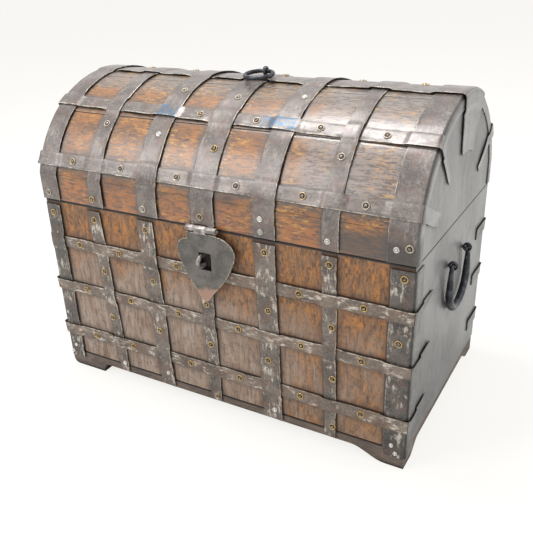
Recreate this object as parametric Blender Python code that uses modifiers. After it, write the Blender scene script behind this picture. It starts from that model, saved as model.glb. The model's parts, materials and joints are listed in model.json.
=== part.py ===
"""Dome top chest: a boarded box and a staved lid, bound with woven iron straps.

Metres, +Z up, front towards -Y. The origin is on the floor, under the middle of the box.
The straps are the skilled part of this chest: each runs over some of the straps that it
crosses and under the others, folds round the corners and ends in a tab on the chest's end.
"""
import math

import bmesh
import bpy
from mathutils import Matrix, Vector

# Clearance between pieces that touch
GAP = 0.0003
CUT_OVERRUN = 0.004

# Box
BOX_WIDTH = 0.460
BOX_DEPTH = 0.266
BOX_TOP = 0.2325
BOARD_THICK = 0.012
BOARD_EDGE_EASE = 0.0008
BOTTOM_THICK = 0.008
SHEET_THICK = 0.0008

# Plinth and feet
FOOT_HEIGHT = 0.012
RAIL_HEIGHT = 0.010
RAIL_THICK = 0.016
FOOT_LENGTH = 0.060
FOOT_RETURN = 0.046
FOOT_PAD = 0.020
RETURN_PAD = 0.004
OLD_FOOT_LENGTH = 0.053
OLD_FOOT_ROUND = 0.008
OLD_FOOT_STEP = 0.005

# Lid
LID_OVERHANG = 0.0015
LID_SKIRT = 0.0324
DOME_RISE = 0.0991
STAVE_THICK = 0.010
DOME_SEGMENTS = 36
STAVE_JOINTS = (8, 15, 23, 30)
GROOVE_DEPTH = 0.0012
GROOVE_WIDTH = 0.0010

# Straps
STRAP_THICK = 0.0012
STRAP_WIDTH = 0.020
HOOP_WIDTH = 0.0145
LONG_STRAP_WIDTH = 0.0155
RIDGE_STRAP_WIDTH = 0.078
CORNER_LEG_FRONT = 0.0235
CORNER_LEG_END = 0.020
RIM_LEG = 0.0275
RIM_FLANGE = 0.013
WEAVE_MARGIN = 0.0008
WEAVE_RAMP = 0.004
STUB_LENGTH = 0.053
BACK_STUB_LENGTH = 0.040
TAB_LENGTH = 0.060
STRAP_END_INSET = 0.0015
COLUMN_TOP_INSET = 0.005
COLUMN_FOOT = 0.0135

# Places of the straps, as shares of the size that each follows
HOOP_HEIGHT_SHARES = (0.775, 0.515, 0.238)
HOOP_WIDTH_SHARES = (1.0, 0.95, 1.07)
STUB_TIP_SHARES = ((0.10, 0.45), (0.05, 0.60), (-0.5, 0.5))
COLUMN_TOP_SHARES = (-0.336, -0.173, -0.008, 0.159, 0.315)
COLUMN_FOOT_SHARES = (-0.301, -0.152, 0.001, 0.167, 0.320)
COLUMN_WIDTH_SHARES = (0.83, 1.06, 0.88, 1.22, 0.76)
LID_COLUMN_SHARES = (-0.317, -0.1565, 0.001, 0.161, 0.319)
LID_COLUMN_WIDTH_SHARES = (0.98, 1.35, 1.45, 1.28, 0.89)
LONG_STRAP_LEFT_SHARES = (-0.899, -0.470, 0.155, 0.777)
LONG_STRAP_RIGHT_SHARES = (-0.899, -0.515, 0.110, 0.777)
TAB_TIP_SHARES = (1.55, 0.70, 1.0, 1.0)

# Which straps a hoop or a long strap passes over, from left to right
HOOP_OVER = ("uououoo", "ouououo", "oououoo")
LONG_OVER = ("oououoo", "ouououo", "uououoo", "ouououo")

# Nails
NAIL_RADIUS = 0.0038
NAIL_TOP_SHARE = 0.55
NAIL_HEIGHT = 0.0016
NAIL_SINK = 0.0005
NAIL_SIDES = 6
COLUMN_NAIL_INSET = 0.011
LID_NAIL_INSET = 0.0085

# Back hinges
HINGE_PLACE_SHARE = 0.237
HINGE_KNUCKLE_RADIUS = 0.0040
HINGE_PIN_RADIUS = 0.0016
HINGE_PIN_HEAD = 0.0024
HINGE_PIN_HEAD_DEPTH = 0.0014
HINGE_KNUCKLE_LENGTH = 0.010
HINGE_LEAF_THICK = 0.0016
HINGE_BASE_LEAF = 0.036
HINGE_LID_LEAF = 0.026
HINGE_SIDES = 16
PIN_SIDES = 12
HINGE_BASE_NAIL_SHARES = (0.22, 0.6)
HINGE_LID_NAIL_SHARE = 0.65
HINGE_PIN_NECK_SHARE = 0.9

# Hasp and staple
HASP_KNUCKLE_RADIUS = 0.0036
HASP_PIN_RADIUS = 0.0014
HASP_KNUCKLES = (0.0098, 0.0154, 0.0130)
HASP_PIN_END = 0.0022
HASP_STANDOFF_SHARE = 0.43
HASP_THICK = 0.0015
HASP_TAB_THICK = 0.00135
HASP_TAB_DROP = 0.0055
HASP_NECK_WIDTH = 0.0365
HASP_RIGHT_NECK = 0.0052
HASP_LEFT_NECK = 0.0124
HASP_RIGHT_WIDE = 0.0412
HASP_LEFT_WIDE = 0.0324
HASP_RIGHT_WIDEST = 0.0240
HASP_LEFT_WIDEST = 0.0263
HASP_LENGTH = 0.0840
HASP_SHOULDER_STEPS = 5
HASP_FLANK_SHARES = ((0.18, 0.935), (0.52, 0.71), (0.76, 0.46), (0.89, 0.31))
HASP_TIP_RADIUS = 0.0065
HASP_TIP_SHIFT = 0.0002
HASP_TIP_DEGREES = (-35, -65, -90, -120, -158)
HASP_HOLE_WIDTH = 0.0150
HASP_HOLE_HEIGHT = 0.0200
HASP_HOLE_DEPTH = 0.0262
HASP_HOLE_SHIFT = 0.0033
STAPLE_RADIUS = 0.0022
STAPLE_HALF_HEIGHT = 0.0059
STAPLE_REACH = 0.0160
STAPLE_SHIFT = -0.0012
STAPLE_ARC_STEPS = 8
STAPLE_HOLE_SIDES = 10
LEG_BEYOND = 0.003

# Handles
EYE_INNER_RADIUS = 0.0027
EYE_WIRE_RADIUS = 0.0013
EYE_ARC_STEPS = 14
EYE_OPEN_DEGREES = 50
HANDLE_HEIGHT_SHARE = 0.8135
HANDLE_SHIFT = 0.004
HANDLE_EYE_SPACING = 0.055
BAIL_END_RADIUS = 0.0022
BAIL_END_BEND = 0.0033
BAIL_BEND_SHARE = 0.3
BAIL_RADIUS = 0.0042
BAIL_DROP = 0.058
BAIL_HALF_WIDTH = 0.0335
BAIL_END_OUT = 0.0048
BAIL_TIP_IN = 0.0050
BAIL_STEPS = 9
BAIL_BELLY_SHARE = 0.52

# Ring on the lid
RING_OUTER_RADIUS = 0.0178
RING_WIRE_RADIUS = 0.00235
RING_EYE_X = 0.005
RING_SEGMENTS = 24
RING_SIDES = 8

# Places worked out from the sizes above
half_width = BOX_WIDTH / 2
half_depth = BOX_DEPTH / 2
end_step = GAP + SHEET_THICK
end_face = half_width + end_step
rail_top = FOOT_HEIGHT + RAIL_HEIGHT
low_level = GAP
high_level = GAP + STRAP_THICK + GAP
nail_level = GAP + STRAP_THICK - NAIL_SINK

lid_half_depth = half_depth + LID_OVERHANG
lid_bottom = BOX_TOP + GAP
skirt_top = lid_bottom + LID_SKIRT
dome_radius = (lid_half_depth ** 2 + DOME_RISE ** 2) / (2 * DOME_RISE)
dome_axis = skirt_top + DOME_RISE - dome_radius
dome_angle = math.atan2(lid_half_depth, skirt_top - dome_axis)
arc_length = 2 * dome_radius * dome_angle
profile_length = 2 * LID_SKIRT + arc_length

hoop_heights = [BOX_TOP * share for share in HOOP_HEIGHT_SHARES]
hoop_widths = [HOOP_WIDTH * share for share in HOOP_WIDTH_SHARES]
column_top = BOX_TOP - COLUMN_TOP_INSET

IRON = (0.055, 0.050, 0.047, 1.0)
WORN_IRON = (0.090, 0.084, 0.080, 1.0)
SHEET_IRON = (0.165, 0.163, 0.165, 1.0)
BLACK_IRON = (0.030, 0.030, 0.034, 1.0)
BOX_WOOD = (0.130, 0.050, 0.024, 1.0)
LID_WOOD = (0.300, 0.115, 0.035, 1.0)
DARK_WOOD = (0.060, 0.034, 0.024, 1.0)

parts = bpy.data.collections.new("dome_top_chest")
cutters = bpy.data.collections.new("cutters")


def clear_scene():
    for thing in list(bpy.data.objects):
        bpy.data.objects.remove(thing, do_unlink=True)
    bpy.context.scene.collection.children.link(parts)
    bpy.context.scene.collection.children.link(cutters)


def finish_colour(name, colour, roughness, metallic):
    material = bpy.data.materials.new(name + "_finish")
    material.use_nodes = True
    shader = material.node_tree.nodes["Principled BSDF"]
    shader.inputs["Base Color"].default_value = colour
    shader.inputs["Roughness"].default_value = roughness
    shader.inputs["Metallic"].default_value = metallic
    material.diffuse_color = colour
    return material


def wood(name, colour=BOX_WOOD):
    return finish_colour(name, colour, 0.55, 0.0)


def iron(name, colour=IRON, roughness=0.5):
    return finish_colour(name, colour, roughness, 0.85)


def add_part(name, data, material, parent=None, place=(0, 0, 0), turn=(0, 0, 0)):
    """Puts a mesh or curve in the part's collection, under an empty if it moves."""
    thing = bpy.data.objects.new(name, data)
    parts.objects.link(thing)
    thing.location = place
    thing.rotation_euler = turn
    data.materials.append(material)
    if parent is not None:
        thing.parent = parent
        thing.matrix_parent_inverse = Matrix.Translation(parent.location).inverted()
    return thing


def add_axis(name, place, parent=None):
    """An empty on a joint's axis."""
    axis = bpy.data.objects.new(name, None)
    parts.objects.link(axis)
    axis.empty_display_size = STRAP_WIDTH
    axis.location = place
    if parent is not None:
        axis.parent = parent
        axis.matrix_parent_inverse = Matrix.Translation(parent.location).inverted()
    return axis


def add_modifier(thing, kind, **settings):
    modifier = thing.modifiers.new(kind.title(), kind)
    for key, value in settings.items():
        setattr(modifier, key, value)
    return modifier


def box_mesh(name, low, high):
    """A box between two corners."""
    low, high = Vector(low), Vector(high)
    size = high - low
    frame = Matrix.Translation((low + high) / 2) @ Matrix.Diagonal((*size, 1))
    shape = bmesh.new()
    bmesh.ops.create_cube(shape, size=1, matrix=frame)
    data = bpy.data.meshes.new(name)
    shape.to_mesh(data)
    shape.free()
    return data


def add_board(name, low, high, colour=BOX_WOOD, parent=None):
    board = add_part(name, box_mesh(name, low, high), wood(name, colour), parent)
    add_modifier(board, "BEVEL", width=BOARD_EDGE_EASE, segments=1)
    return board


def cylinder_mesh(name, radius, start, end, sides):
    """A cylinder from start to end."""
    start, end = Vector(start), Vector(end)
    along = end - start
    frame = Matrix.Translation((start + end) / 2) @ along.to_track_quat("Z", "Y").to_matrix().to_4x4()
    shape = bmesh.new()
    bmesh.ops.create_cone(
        shape, cap_ends=True, segments=sides, radius1=radius, radius2=radius,
        depth=along.length, matrix=frame,
    )
    data = bpy.data.meshes.new(name)
    shape.to_mesh(data)
    shape.free()
    return data


def add_cutter(name, data):
    cutter = bpy.data.objects.new(name, data)
    cutters.objects.link(cutter)
    cutter.hide_render = True
    cutter.display_type = "WIRE"
    return cutter


def cut(thing, cutter):
    add_modifier(thing, "BOOLEAN", operation="DIFFERENCE", object=cutter, solver="EXACT")


def join(thing, other):
    add_modifier(thing, "BOOLEAN", operation="UNION", object=other, solver="EXACT")


def round_shading(thing):
    """Smooth shading that keeps sharp edges sharp."""
    thing.data.shade_smooth()
    thing.data.set_sharp_from_angle(angle=math.radians(40))


def outline_curve(name, loops, thickness):
    """A flat outline, with a hole for each further loop, as thick as asked about its plane."""
    data = bpy.data.curves.new(name, "CURVE")
    data.dimensions = "2D"
    data.fill_mode = "BOTH"
    data.extrude = thickness / 2
    for loop in loops:
        spline = data.splines.new("POLY")
        spline.points.add(len(loop) - 1)
        for point, (across, up) in zip(spline.points, loop):
            point.co = (across, up, 0, 1)
        spline.use_cyclic_u = True
    return data


# Turns that stand an outline up: facing the chest's front, or its end
FACING_FRONT = (math.pi / 2, 0, 0)
FACING_END = (math.pi / 2, 0, math.pi / 2)


def as_mesh(thing):
    """The same piece as a mesh, with its caps welded, so that it can be cut or joined."""
    bpy.context.view_layer.update()
    evaluated = thing.evaluated_get(bpy.context.evaluated_depsgraph_get())
    data = bpy.data.meshes.new_from_object(evaluated)
    name, parent, material = thing.name, thing.parent, thing.data.materials[0]
    world = thing.matrix_world.copy()
    bpy.data.objects.remove(thing, do_unlink=True)
    shape = bmesh.new()
    shape.from_mesh(data)
    bmesh.ops.transform(shape, matrix=world, verts=shape.verts)
    bmesh.ops.remove_doubles(shape, verts=shape.verts, dist=GAP / 10)
    bmesh.ops.recalc_face_normals(shape, faces=shape.faces)
    shape.to_mesh(data)
    shape.free()
    data.materials.clear()
    return add_part(name, data, material, parent)


def wire_curve(name, points, radius, sides_step=2, radii=None):
    """A round bar along points, with closed ends."""
    data = bpy.data.curves.new(name, "CURVE")
    data.dimensions = "3D"
    data.bevel_depth = radius
    data.bevel_resolution = sides_step
    data.use_fill_caps = True
    spline = data.splines.new("POLY")
    spline.points.add(len(points) - 1)
    for i, (point, place) in enumerate(zip(spline.points, points)):
        point.co = (*place, 1)
        point.radius = radii[i] if radii else 1
    spline.use_smooth = True
    return data


class Path:
    """A polyline with an outer side. A place on it is its distance from the start."""

    def __init__(self, points, side=1):
        self.points = [Vector(point) for point in points]
        self.marks = [0]
        self.normals = []
        for first, second in zip(self.points, self.points[1:]):
            step = second - first
            self.marks.append(self.marks[-1] + step.length)
            self.normals.append(Vector((step.y, -step.x)).normalized() * side)

    def at(self, place):
        """The point there, and the direction out of it, mitred at a corner."""
        for i, mark in enumerate(self.marks):
            if abs(place - mark) < GAP / 100:
                before = self.normals[max(i - 1, 0)]
                after = self.normals[min(i, len(self.normals) - 1)]
                return self.points[i], (before + after) / (1 + before.dot(after))
        i = max(k for k, mark in enumerate(self.marks[:-1]) if mark < place)
        share = (place - self.marks[i]) / (self.marks[i + 1] - self.marks[i])
        return self.points[i].lerp(self.points[i + 1], share), self.normals[i]

    def length(self):
        return self.marks[-1]


def lift(place, spans):
    """How far a strap is raised at a place, from 0 to 1, to pass over the spans there."""
    raised = 0
    for start, end in spans:
        away = max(start - WEAVE_MARGIN - place, place - end - WEAVE_MARGIN, 0)
        raised = max(raised, 1 - away / WEAVE_RAMP)
    return raised


def level(place, spans):
    return low_level + (high_level - low_level) * lift(place, spans)


def stations(start, end, corners, spans, centres=False):
    """Places along a strap: its ends, its corners, and where it rises and comes down."""
    kept = [start, end] + [place for place in corners if start < place < end]
    wanted = []
    for low, high in spans:
        wanted += [low - WEAVE_MARGIN - WEAVE_RAMP, low - WEAVE_MARGIN]
        wanted += [high + WEAVE_MARGIN, high + WEAVE_MARGIN + WEAVE_RAMP]
        if centres:
            wanted.append((low + high) / 2)
    for place in wanted:
        inside = start < place < end
        if inside and min(abs(place - other) for other in kept) > WEAVE_MARGIN / 2:
            kept.append(place)
    return sorted(kept)


def sheet_mesh(name, rows, core):
    """An open surface through rows of points, facing away from the core."""
    shape = bmesh.new()
    grid = [[shape.verts.new(point) for point in row] for row in rows]
    for lower, upper in zip(grid, grid[1:]):
        for i in range(len(lower) - 1):
            shape.faces.new((lower[i], lower[i + 1], upper[i + 1], upper[i]))
    shape.normal_update()
    shape.faces.ensure_lookup_table()
    middle = shape.faces[len(shape.faces) // 2]
    centre = middle.calc_center_median()
    if middle.normal.dot(centre - Vector(core(centre))) < 0:
        bmesh.ops.reverse_faces(shape, faces=shape.faces)
    data = bpy.data.meshes.new(name)
    shape.to_mesh(data)
    shape.free()
    return data


def box_core(point):
    return (0, 0, point.z)


def lid_core(point):
    return (point.x, 0, dome_axis)


def add_strap(name, data, nails=(), parent=None, colour=IRON):
    """A strap, given its thickness outwards, with the heads of its nails."""
    strap = add_part(name, data, iron(name, colour), parent)
    add_modifier(strap, "SOLIDIFY", thickness=STRAP_THICK, offset=1, use_even_offset=True)
    add_nails(strap, nails)
    return strap


def add_nails(thing, nails):
    """Joins nail heads to the strap that they hold: each is a place and the way it faces."""
    if not nails:
        return
    shape = bmesh.new()
    for place, out in nails:
        out = Vector(out).normalized()
        middle = Vector(place) + out * NAIL_HEIGHT / 2
        frame = Matrix.Translation(middle) @ out.to_track_quat("Z", "Y").to_matrix().to_4x4()
        bmesh.ops.create_cone(
            shape, cap_ends=True, segments=NAIL_SIDES, radius1=NAIL_RADIUS,
            radius2=NAIL_RADIUS * NAIL_TOP_SHARE, depth=NAIL_HEIGHT, matrix=frame,
        )
    data = bpy.data.meshes.new(thing.name + "_nails")
    shape.to_mesh(data)
    shape.free()
    join(thing, add_cutter(thing.name + "_nails", data))


# The box

def build_boards():
    """Front and back boards run the full width, and the ends and bottom fit between them."""
    inner_x = half_width - BOARD_THICK
    inner_y = half_depth - BOARD_THICK
    floor = rail_top + GAP
    front = add_board("box_front_board", (-half_width, -half_depth, floor), (half_width, -inner_y, BOX_TOP))
    add_board("box_back_board", (-half_width, inner_y, floor), (half_width, half_depth, BOX_TOP))
    fit_y = inner_y - GAP
    left = add_board("box_left_board", (-half_width, -fit_y, floor), (-inner_x, fit_y, BOX_TOP))
    right = add_board("box_right_board", (inner_x, -fit_y, floor), (half_width, fit_y, BOX_TOP))
    fit_x = inner_x - GAP
    add_board("box_bottom_board", (-fit_x, -fit_y, floor), (fit_x, fit_y, floor + BOTTOM_THICK), DARK_WOOD)
    return front, left, right


def build_end_sheets():
    """Thin iron sheet over each end of the box."""
    edge = half_depth - end_step
    floor = rail_top + GAP
    sheets = []
    for side, name in ((-1, "box_left_sheet"), (1, "box_right_sheet")):
        inner, outer = sorted((side * (half_width + GAP), side * end_face))
        data = box_mesh(name, (inner, -edge, floor), (outer, edge, BOX_TOP - GAP))
        sheets.append(add_part(name, data, iron(name, SHEET_IRON, 0.42)))
    return sheets


def ogee(start, end, low, high, steps):
    """Points of an S curve from one corner of a rectangle to the other."""
    points = []
    for i in range(steps + 1):
        share = i / steps
        rise = (1 - math.cos(math.pi * share)) / 2
        points.append((start + (end - start) * share, low + (high - low) * rise))
    return points


def foot_profile(length, pad, worn):
    """Half of a bracket foot seen from outside, from its heel at 0 up to the rail's edge."""
    if worn:
        turn = [math.radians(angle) for angle in (0, 30, 60, 90)]
        heel = [
            (OLD_FOOT_ROUND * (1 - math.cos(a)), OLD_FOOT_ROUND * (1 - math.sin(a)))
            for a in turn
        ]
        return heel + [(length, 0), (length, OLD_FOOT_STEP), (length + OLD_FOOT_STEP, FOOT_HEIGHT)]
    return [(0, 0)] + ogee(pad, length, 0, FOOT_HEIGHT, 8)


def build_plinth():
    """Four boards under the box, each cut away below to leave a bracket foot at its ends."""
    for side_y, word in ((-1, "front"), (1, "back")):
        left = foot_profile(OLD_FOOT_LENGTH, FOOT_PAD, True)
        right = foot_profile(FOOT_LENGTH, FOOT_PAD, False)
        outline = [(-half_width, rail_top)]
        outline += [(-half_width + x, z) for x, z in left]
        outline += [(half_width - x, z) for x, z in reversed(right)]
        outline.append((half_width, rail_top))
        curve = outline_curve(f"{word}_plinth", [outline], RAIL_THICK)
        place = (0, side_y * (half_depth - RAIL_THICK / 2), 0)
        add_part(f"{word}_plinth", curve, wood(f"{word}_plinth", DARK_WOOD), None, place, FACING_FRONT)
    reach = half_depth - RAIL_THICK - GAP
    for side_x, word in ((-1, "left"), (1, "right")):
        foot = foot_profile(FOOT_RETURN - RAIL_THICK, RETURN_PAD, False)
        outline = [(-reach, rail_top)]
        outline += [(-reach + y, z) for y, z in foot]
        outline += [(reach - y, z) for y, z in reversed(foot)]
        outline.append((reach, rail_top))
        name = f"{word}_plinth"
        curve = outline_curve(name, [outline], RAIL_THICK)
        place = (side_x * (half_width - RAIL_THICK / 2), 0, 0)
        board = as_mesh(add_part(name, curve, wood(name, DARK_WOOD), None, place, FACING_END))
        if side_x < 0:
            trim_worn_heel(board, side_x)


def trim_worn_heel(piece, side_x):
    """Slopes the outside of the left board inwards at the floor, behind the worn heel."""
    shape = bmesh.new()
    shape.from_mesh(piece.data)
    for vertex in shape.verts:
        outer = abs(vertex.co.x) > half_width - RAIL_THICK / 2
        if outer and vertex.co.z < OLD_FOOT_ROUND:
            vertex.co.x = side_x * (half_width - OLD_FOOT_ROUND)
    shape.to_mesh(piece.data)
    shape.free()


# The straps of the box

def column_centre(index, height):
    """Where a front column is at a height: the columns lean a little."""
    share = (height - COLUMN_FOOT) / (column_top - COLUMN_FOOT)
    foot, top = COLUMN_FOOT_SHARES[index], COLUMN_TOP_SHARES[index]
    return BOX_WIDTH * (foot + (top - foot) * share)


def column_width(index):
    return STRAP_WIDTH * COLUMN_WIDTH_SHARES[index]


def hoop_span(row):
    """The heights that a hoop covers."""
    return (hoop_heights[row] - hoop_widths[row] / 2, hoop_heights[row] + hoop_widths[row] / 2)


def column_nail_heights():
    """A nail near each end of a column, and one between each two hoops."""
    rows = sorted(hoop_span(row) for row in range(3))
    heights = [(COLUMN_FOOT + rows[0][0]) / 2 - NAIL_RADIUS]
    heights += panel_middles(rows)
    heights.append(column_top - COLUMN_NAIL_INSET)
    return heights


def panel_middles(spans):
    """The middles of the spaces between neighbouring straps."""
    return [(left[1] + right[0]) / 2 for left, right in zip(spans, spans[1:])]


def column_mesh(name, index):
    over = [hoop_span(row) for row in range(3) if HOOP_OVER[row][index + 1] == "u"]
    width = column_width(index)
    rows = []
    for height in stations(COLUMN_FOOT, column_top, (), over):
        middle = column_centre(index, height)
        out = -(half_depth + level(height, over))
        rows.append([(middle - width / 2, out, height), (middle + width / 2, out, height)])
    nails = []
    for height in column_nail_heights():
        if staple_near(index, height):
            continue
        place = (column_centre(index, height), -(half_depth + nail_level), height)
        nails.append((place, (0, -1, 0)))
    return sheet_mesh(name, rows, box_core), nails


def staple_near(index, height):
    """True where a nail would stand under the hasp's staple."""
    under_hasp = abs(COLUMN_TOP_SHARES[index] * BOX_WIDTH) < STRAP_WIDTH
    return under_hasp and height > hoop_span(0)[1]


def corner_mesh(name, side_x):
    """A corner strap: one leg on the front or back, the other on the end."""
    column = 0 if side_x < 0 else 6
    over = [hoop_span(row) for row in range(3) if HOOP_OVER[row][column] == "u"]
    fold = Path(
        [
            (side_x * (end_face - CORNER_LEG_FRONT), -half_depth),
            (side_x * (end_face - end_step), -half_depth),
            (side_x * end_face, -half_depth + end_step),
            (side_x * end_face, -half_depth + CORNER_LEG_END),
        ],
        side_x,
    )
    rows = []
    for height in stations(COLUMN_FOOT, column_top, (), over):
        row = []
        for mark in fold.marks:
            point, out = fold.at(mark)
            point = point + out * level(height, over)
            row.append((point.x, point.y, height))
        rows.append(row)
    nails = []
    for height in (column_nail_heights()[0], column_nail_heights()[-1]):
        place = (side_x * (end_face - CORNER_LEG_FRONT / 2), -(half_depth + nail_level), height)
        nails.append((place, (0, -1, 0)))
    return sheet_mesh(name, rows, box_core), nails


def column_places(height):
    """The spans across the chest of all seven straps at a height, from left to right."""
    spans = [(-end_face, -end_face + CORNER_LEG_FRONT)]
    for index in range(5):
        middle = column_centre(index, height)
        spans.append((middle - column_width(index) / 2, middle + column_width(index) / 2))
    spans.append((end_face - CORNER_LEG_FRONT, end_face))
    return spans


def hoop_mesh(name, row, side):
    """A hoop strap: a stub on the left end, along the front or back, a stub on the right end."""
    corner = half_depth - end_step
    stub = STUB_LENGTH if side < 0 else BACK_STUB_LENGTH
    path = Path(
        [
            (-end_face, side * (half_depth - stub)),
            (-end_face, side * corner),
            (-end_face + end_step, side * half_depth),
            (end_face - end_step, side * half_depth),
            (end_face, side * corner),
            (end_face, side * (half_depth - stub)),
        ],
        -side,
    )
    straight = path.marks[2] - (end_step - end_face)
    total = path.length()
    over = []
    columns = column_places(hoop_heights[row])
    for index, (low, high) in enumerate(columns):
        if side > 0 or HOOP_OVER[row][index] == "u":
            continue
        start = straight + low
        end = straight + high
        if index == 0:
            start = stub - CORNER_LEG_END
        if index == 6:
            end = total - (stub - CORNER_LEG_END)
        over.append((start, end))
    rows = []
    tip_low, tip_high = STUB_TIP_SHARES[row] if side < 0 else (-0.5, 0.5)
    for place in stations(0, total, path.marks, over):
        point, out = path.at(place)
        point = point + out * level(place, over)
        whole = min(1, min(place, total - place) / (stub - CORNER_LEG_END))
        low = hoop_heights[row] + hoop_widths[row] * (tip_low + (-0.5 - tip_low) * whole)
        high = hoop_heights[row] + hoop_widths[row] * (tip_high + (0.5 - tip_high) * whole)
        rows.append([(point.x, point.y, low), (point.x, point.y, high)])
    nails = []
    for x in panel_middles(columns):
        nails.append(((x, side * (half_depth + nail_level), hoop_heights[row]), (0, side, 0)))
    return sheet_mesh(name, rows, box_core), nails


def build_box_straps():
    columns = []
    for index in range(7):
        name = f"front_column_strap_{index + 1}"
        if index in (0, 6):
            data, nails = corner_mesh(name, -1 if index == 0 else 1)
        else:
            data, nails = column_mesh(name, index - 1)
        columns.append(add_strap(name, data, nails))
    for side, word in ((-1, "front"), (1, "back")):
        for row, place in enumerate(("top", "middle", "bottom")):
            name = f"{word}_{place}_hoop"
            data, nails = hoop_mesh(name, row, side)
            add_strap(name, data, nails)
    return columns


# The lid

def dome_point(angle, radius):
    """Depth and height at an angle from the crest."""
    return Vector((radius * math.sin(angle), dome_axis + radius * math.cos(angle)))


def dome_angles():
    return [dome_angle * (2 * k / DOME_SEGMENTS - 1) for k in range(DOME_SEGMENTS + 1)]


def dome_place(angle):
    """Distance along the lid's profile, from the front's lower edge, at an angle."""
    return LID_SKIRT + dome_radius * (angle + dome_angle)


def profile_point(place, out):
    """A point on the lid's profile, raised outwards."""
    if place < LID_SKIRT:
        return Vector((-lid_half_depth - out, lid_bottom + place))
    if place > profile_length - LID_SKIRT:
        return Vector((lid_half_depth + out, lid_bottom + profile_length - place))
    angle = (place - LID_SKIRT) / dome_radius - dome_angle
    if abs(abs(angle) - dome_angle) < GAP:
        side = math.copysign(1, angle)
        flat = Vector((side, 0))
        slope = Vector((math.sin(angle), math.cos(angle)))
        mitre = (flat + slope) / (1 + flat.dot(slope))
        return Vector((side * lid_half_depth, skirt_top)) + mitre * out
    return dome_point(angle, dome_radius + out)


def profile_inward(place, depth):
    """A point level with the profile's outer face, moved inwards along the lid's end."""
    if place < LID_SKIRT or place > profile_length - LID_SKIRT:
        point = profile_point(place, 0)
        return Vector((point.x - math.copysign(depth, point.x), point.y))
    angle = (place - LID_SKIRT) / dome_radius - dome_angle
    return dome_point(angle, dome_radius - depth)


def skirt_outline(side):
    """A lid board's section: square below, cut to the first stave's slope above."""
    slope = BOARD_THICK / math.tan(dome_angle)
    inner = lid_half_depth - BOARD_THICK
    points = [
        (lid_half_depth, lid_bottom),
        (lid_half_depth, skirt_top - GAP),
        (inner, skirt_top - slope - GAP),
        (inner, lid_bottom),
    ]
    return [(side * y, z) for y, z in points]


def barrel_outline():
    """The barrel's section, with a groove where two staves meet."""
    outer = []
    for k, angle in enumerate(dome_angles()):
        if k in STAVE_JOINTS:
            half = GROOVE_WIDTH / 2 / dome_radius
            outer.append(dome_point(angle - half, dome_radius))
            outer.append(dome_point(angle, dome_radius - GROOVE_DEPTH))
            outer.append(dome_point(angle + half, dome_radius))
        else:
            outer.append(dome_point(angle, dome_radius))
    inner = [dome_point(angle, dome_radius - STAVE_THICK) for angle in reversed(dome_angles())]
    return [tuple(point) for point in outer + inner]


def lid_end_outline(inset, skirt_inset, floor):
    """The lid's end, seen from the side, a little inside its outer face."""
    points = [(-lid_half_depth + skirt_inset, floor)]
    points += [tuple(dome_point(angle, dome_radius - inset)) for angle in dome_angles()]
    points.append((lid_half_depth - skirt_inset, floor))
    limit = lid_half_depth - skirt_inset
    return [(max(-limit, min(limit, y)), z) for y, z in points]


def build_lid_boards(lid):
    for side, name in ((-1, "lid_front_board"), (1, "lid_back_board")):
        curve = outline_curve(name, [skirt_outline(side)], BOX_WIDTH)
        add_part(name, curve, wood(name, LID_WOOD), lid, (0, 0, 0), FACING_END)
    name = "lid_barrel"
    curve = outline_curve(name, [barrel_outline()], BOX_WIDTH)
    barrel = as_mesh(add_part(name, curve, wood(name, LID_WOOD), lid, (0, 0, 0), FACING_END))
    inset = STAVE_THICK + GAP
    skirt_inset = BOARD_THICK + GAP
    for side, name in ((-1, "lid_left_board"), (1, "lid_right_board")):
        curve = outline_curve(name, [lid_end_outline(inset, skirt_inset, lid_bottom)], BOARD_THICK)
        place = (side * (half_width - BOARD_THICK / 2), 0, 0)
        add_part(name, curve, wood(name, LID_WOOD), lid, place, FACING_END)
    for side, name in ((-1, "lid_left_sheet"), (1, "lid_right_sheet")):
        curve = outline_curve(name, [lid_end_outline(end_step, end_step, lid_bottom)], SHEET_THICK)
        place = (side * (half_width + GAP + SHEET_THICK / 2), 0, 0)
        add_part(name, curve, iron(name, SHEET_IRON, 0.42), lid, place, FACING_END)
    return barrel


# The straps of the lid

def long_strap_angle(index, x):
    """The angle of a long strap's middle: some run a little askew."""
    share = (x + half_width) / BOX_WIDTH
    left, right = LONG_STRAP_LEFT_SHARES[index], LONG_STRAP_RIGHT_SHARES[index]
    return dome_angle * (left + (right - left) * max(0, min(1, share)))


def long_strap_width(index):
    return RIDGE_STRAP_WIDTH if index == 2 else LONG_STRAP_WIDTH


def long_strap_span(index, x):
    """The stretch of the lid's profile that a long strap covers."""
    middle = dome_place(long_strap_angle(index, x))
    half = long_strap_width(index) / 2
    return (middle - half, middle + half)


def lid_column_span(index):
    middle = BOX_WIDTH * LID_COLUMN_SHARES[index]
    half = STRAP_WIDTH * LID_COLUMN_WIDTH_SHARES[index] / 2
    return (middle - half, middle + half)


def profile_corners():
    return [dome_place(angle) for angle in dome_angles()]


def lid_over(column, x):
    """The spans of the long straps that a cross strap passes over."""
    return [long_strap_span(k, x) for k in range(4) if LONG_OVER[k][column] == "u"]


def cross_strap_mesh(name, low, high, start, end, over):
    rows = []
    for place in stations(start, end, profile_corners(), over, True):
        point = profile_point(place, level(place, over))
        rows.append([(low, point.x, point.y), (high, point.x, point.y)])
    return sheet_mesh(name, rows, lid_core)


def cross_nails(x, start):
    """A nail near each end of a cross strap, and one between each two long straps."""
    rows = [long_strap_span(k, x) for k in range(4)]
    places = [start] + panel_middles(rows) + [profile_length - LID_NAIL_INSET]
    return [dome_nail(x, place) for place in places]


def dome_nail(x, place):
    foot = profile_point(place, nail_level)
    top = profile_point(place, nail_level + NAIL_HEIGHT)
    return ((x, foot.x, foot.y), (0, top.x - foot.x, top.y - foot.y))


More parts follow.
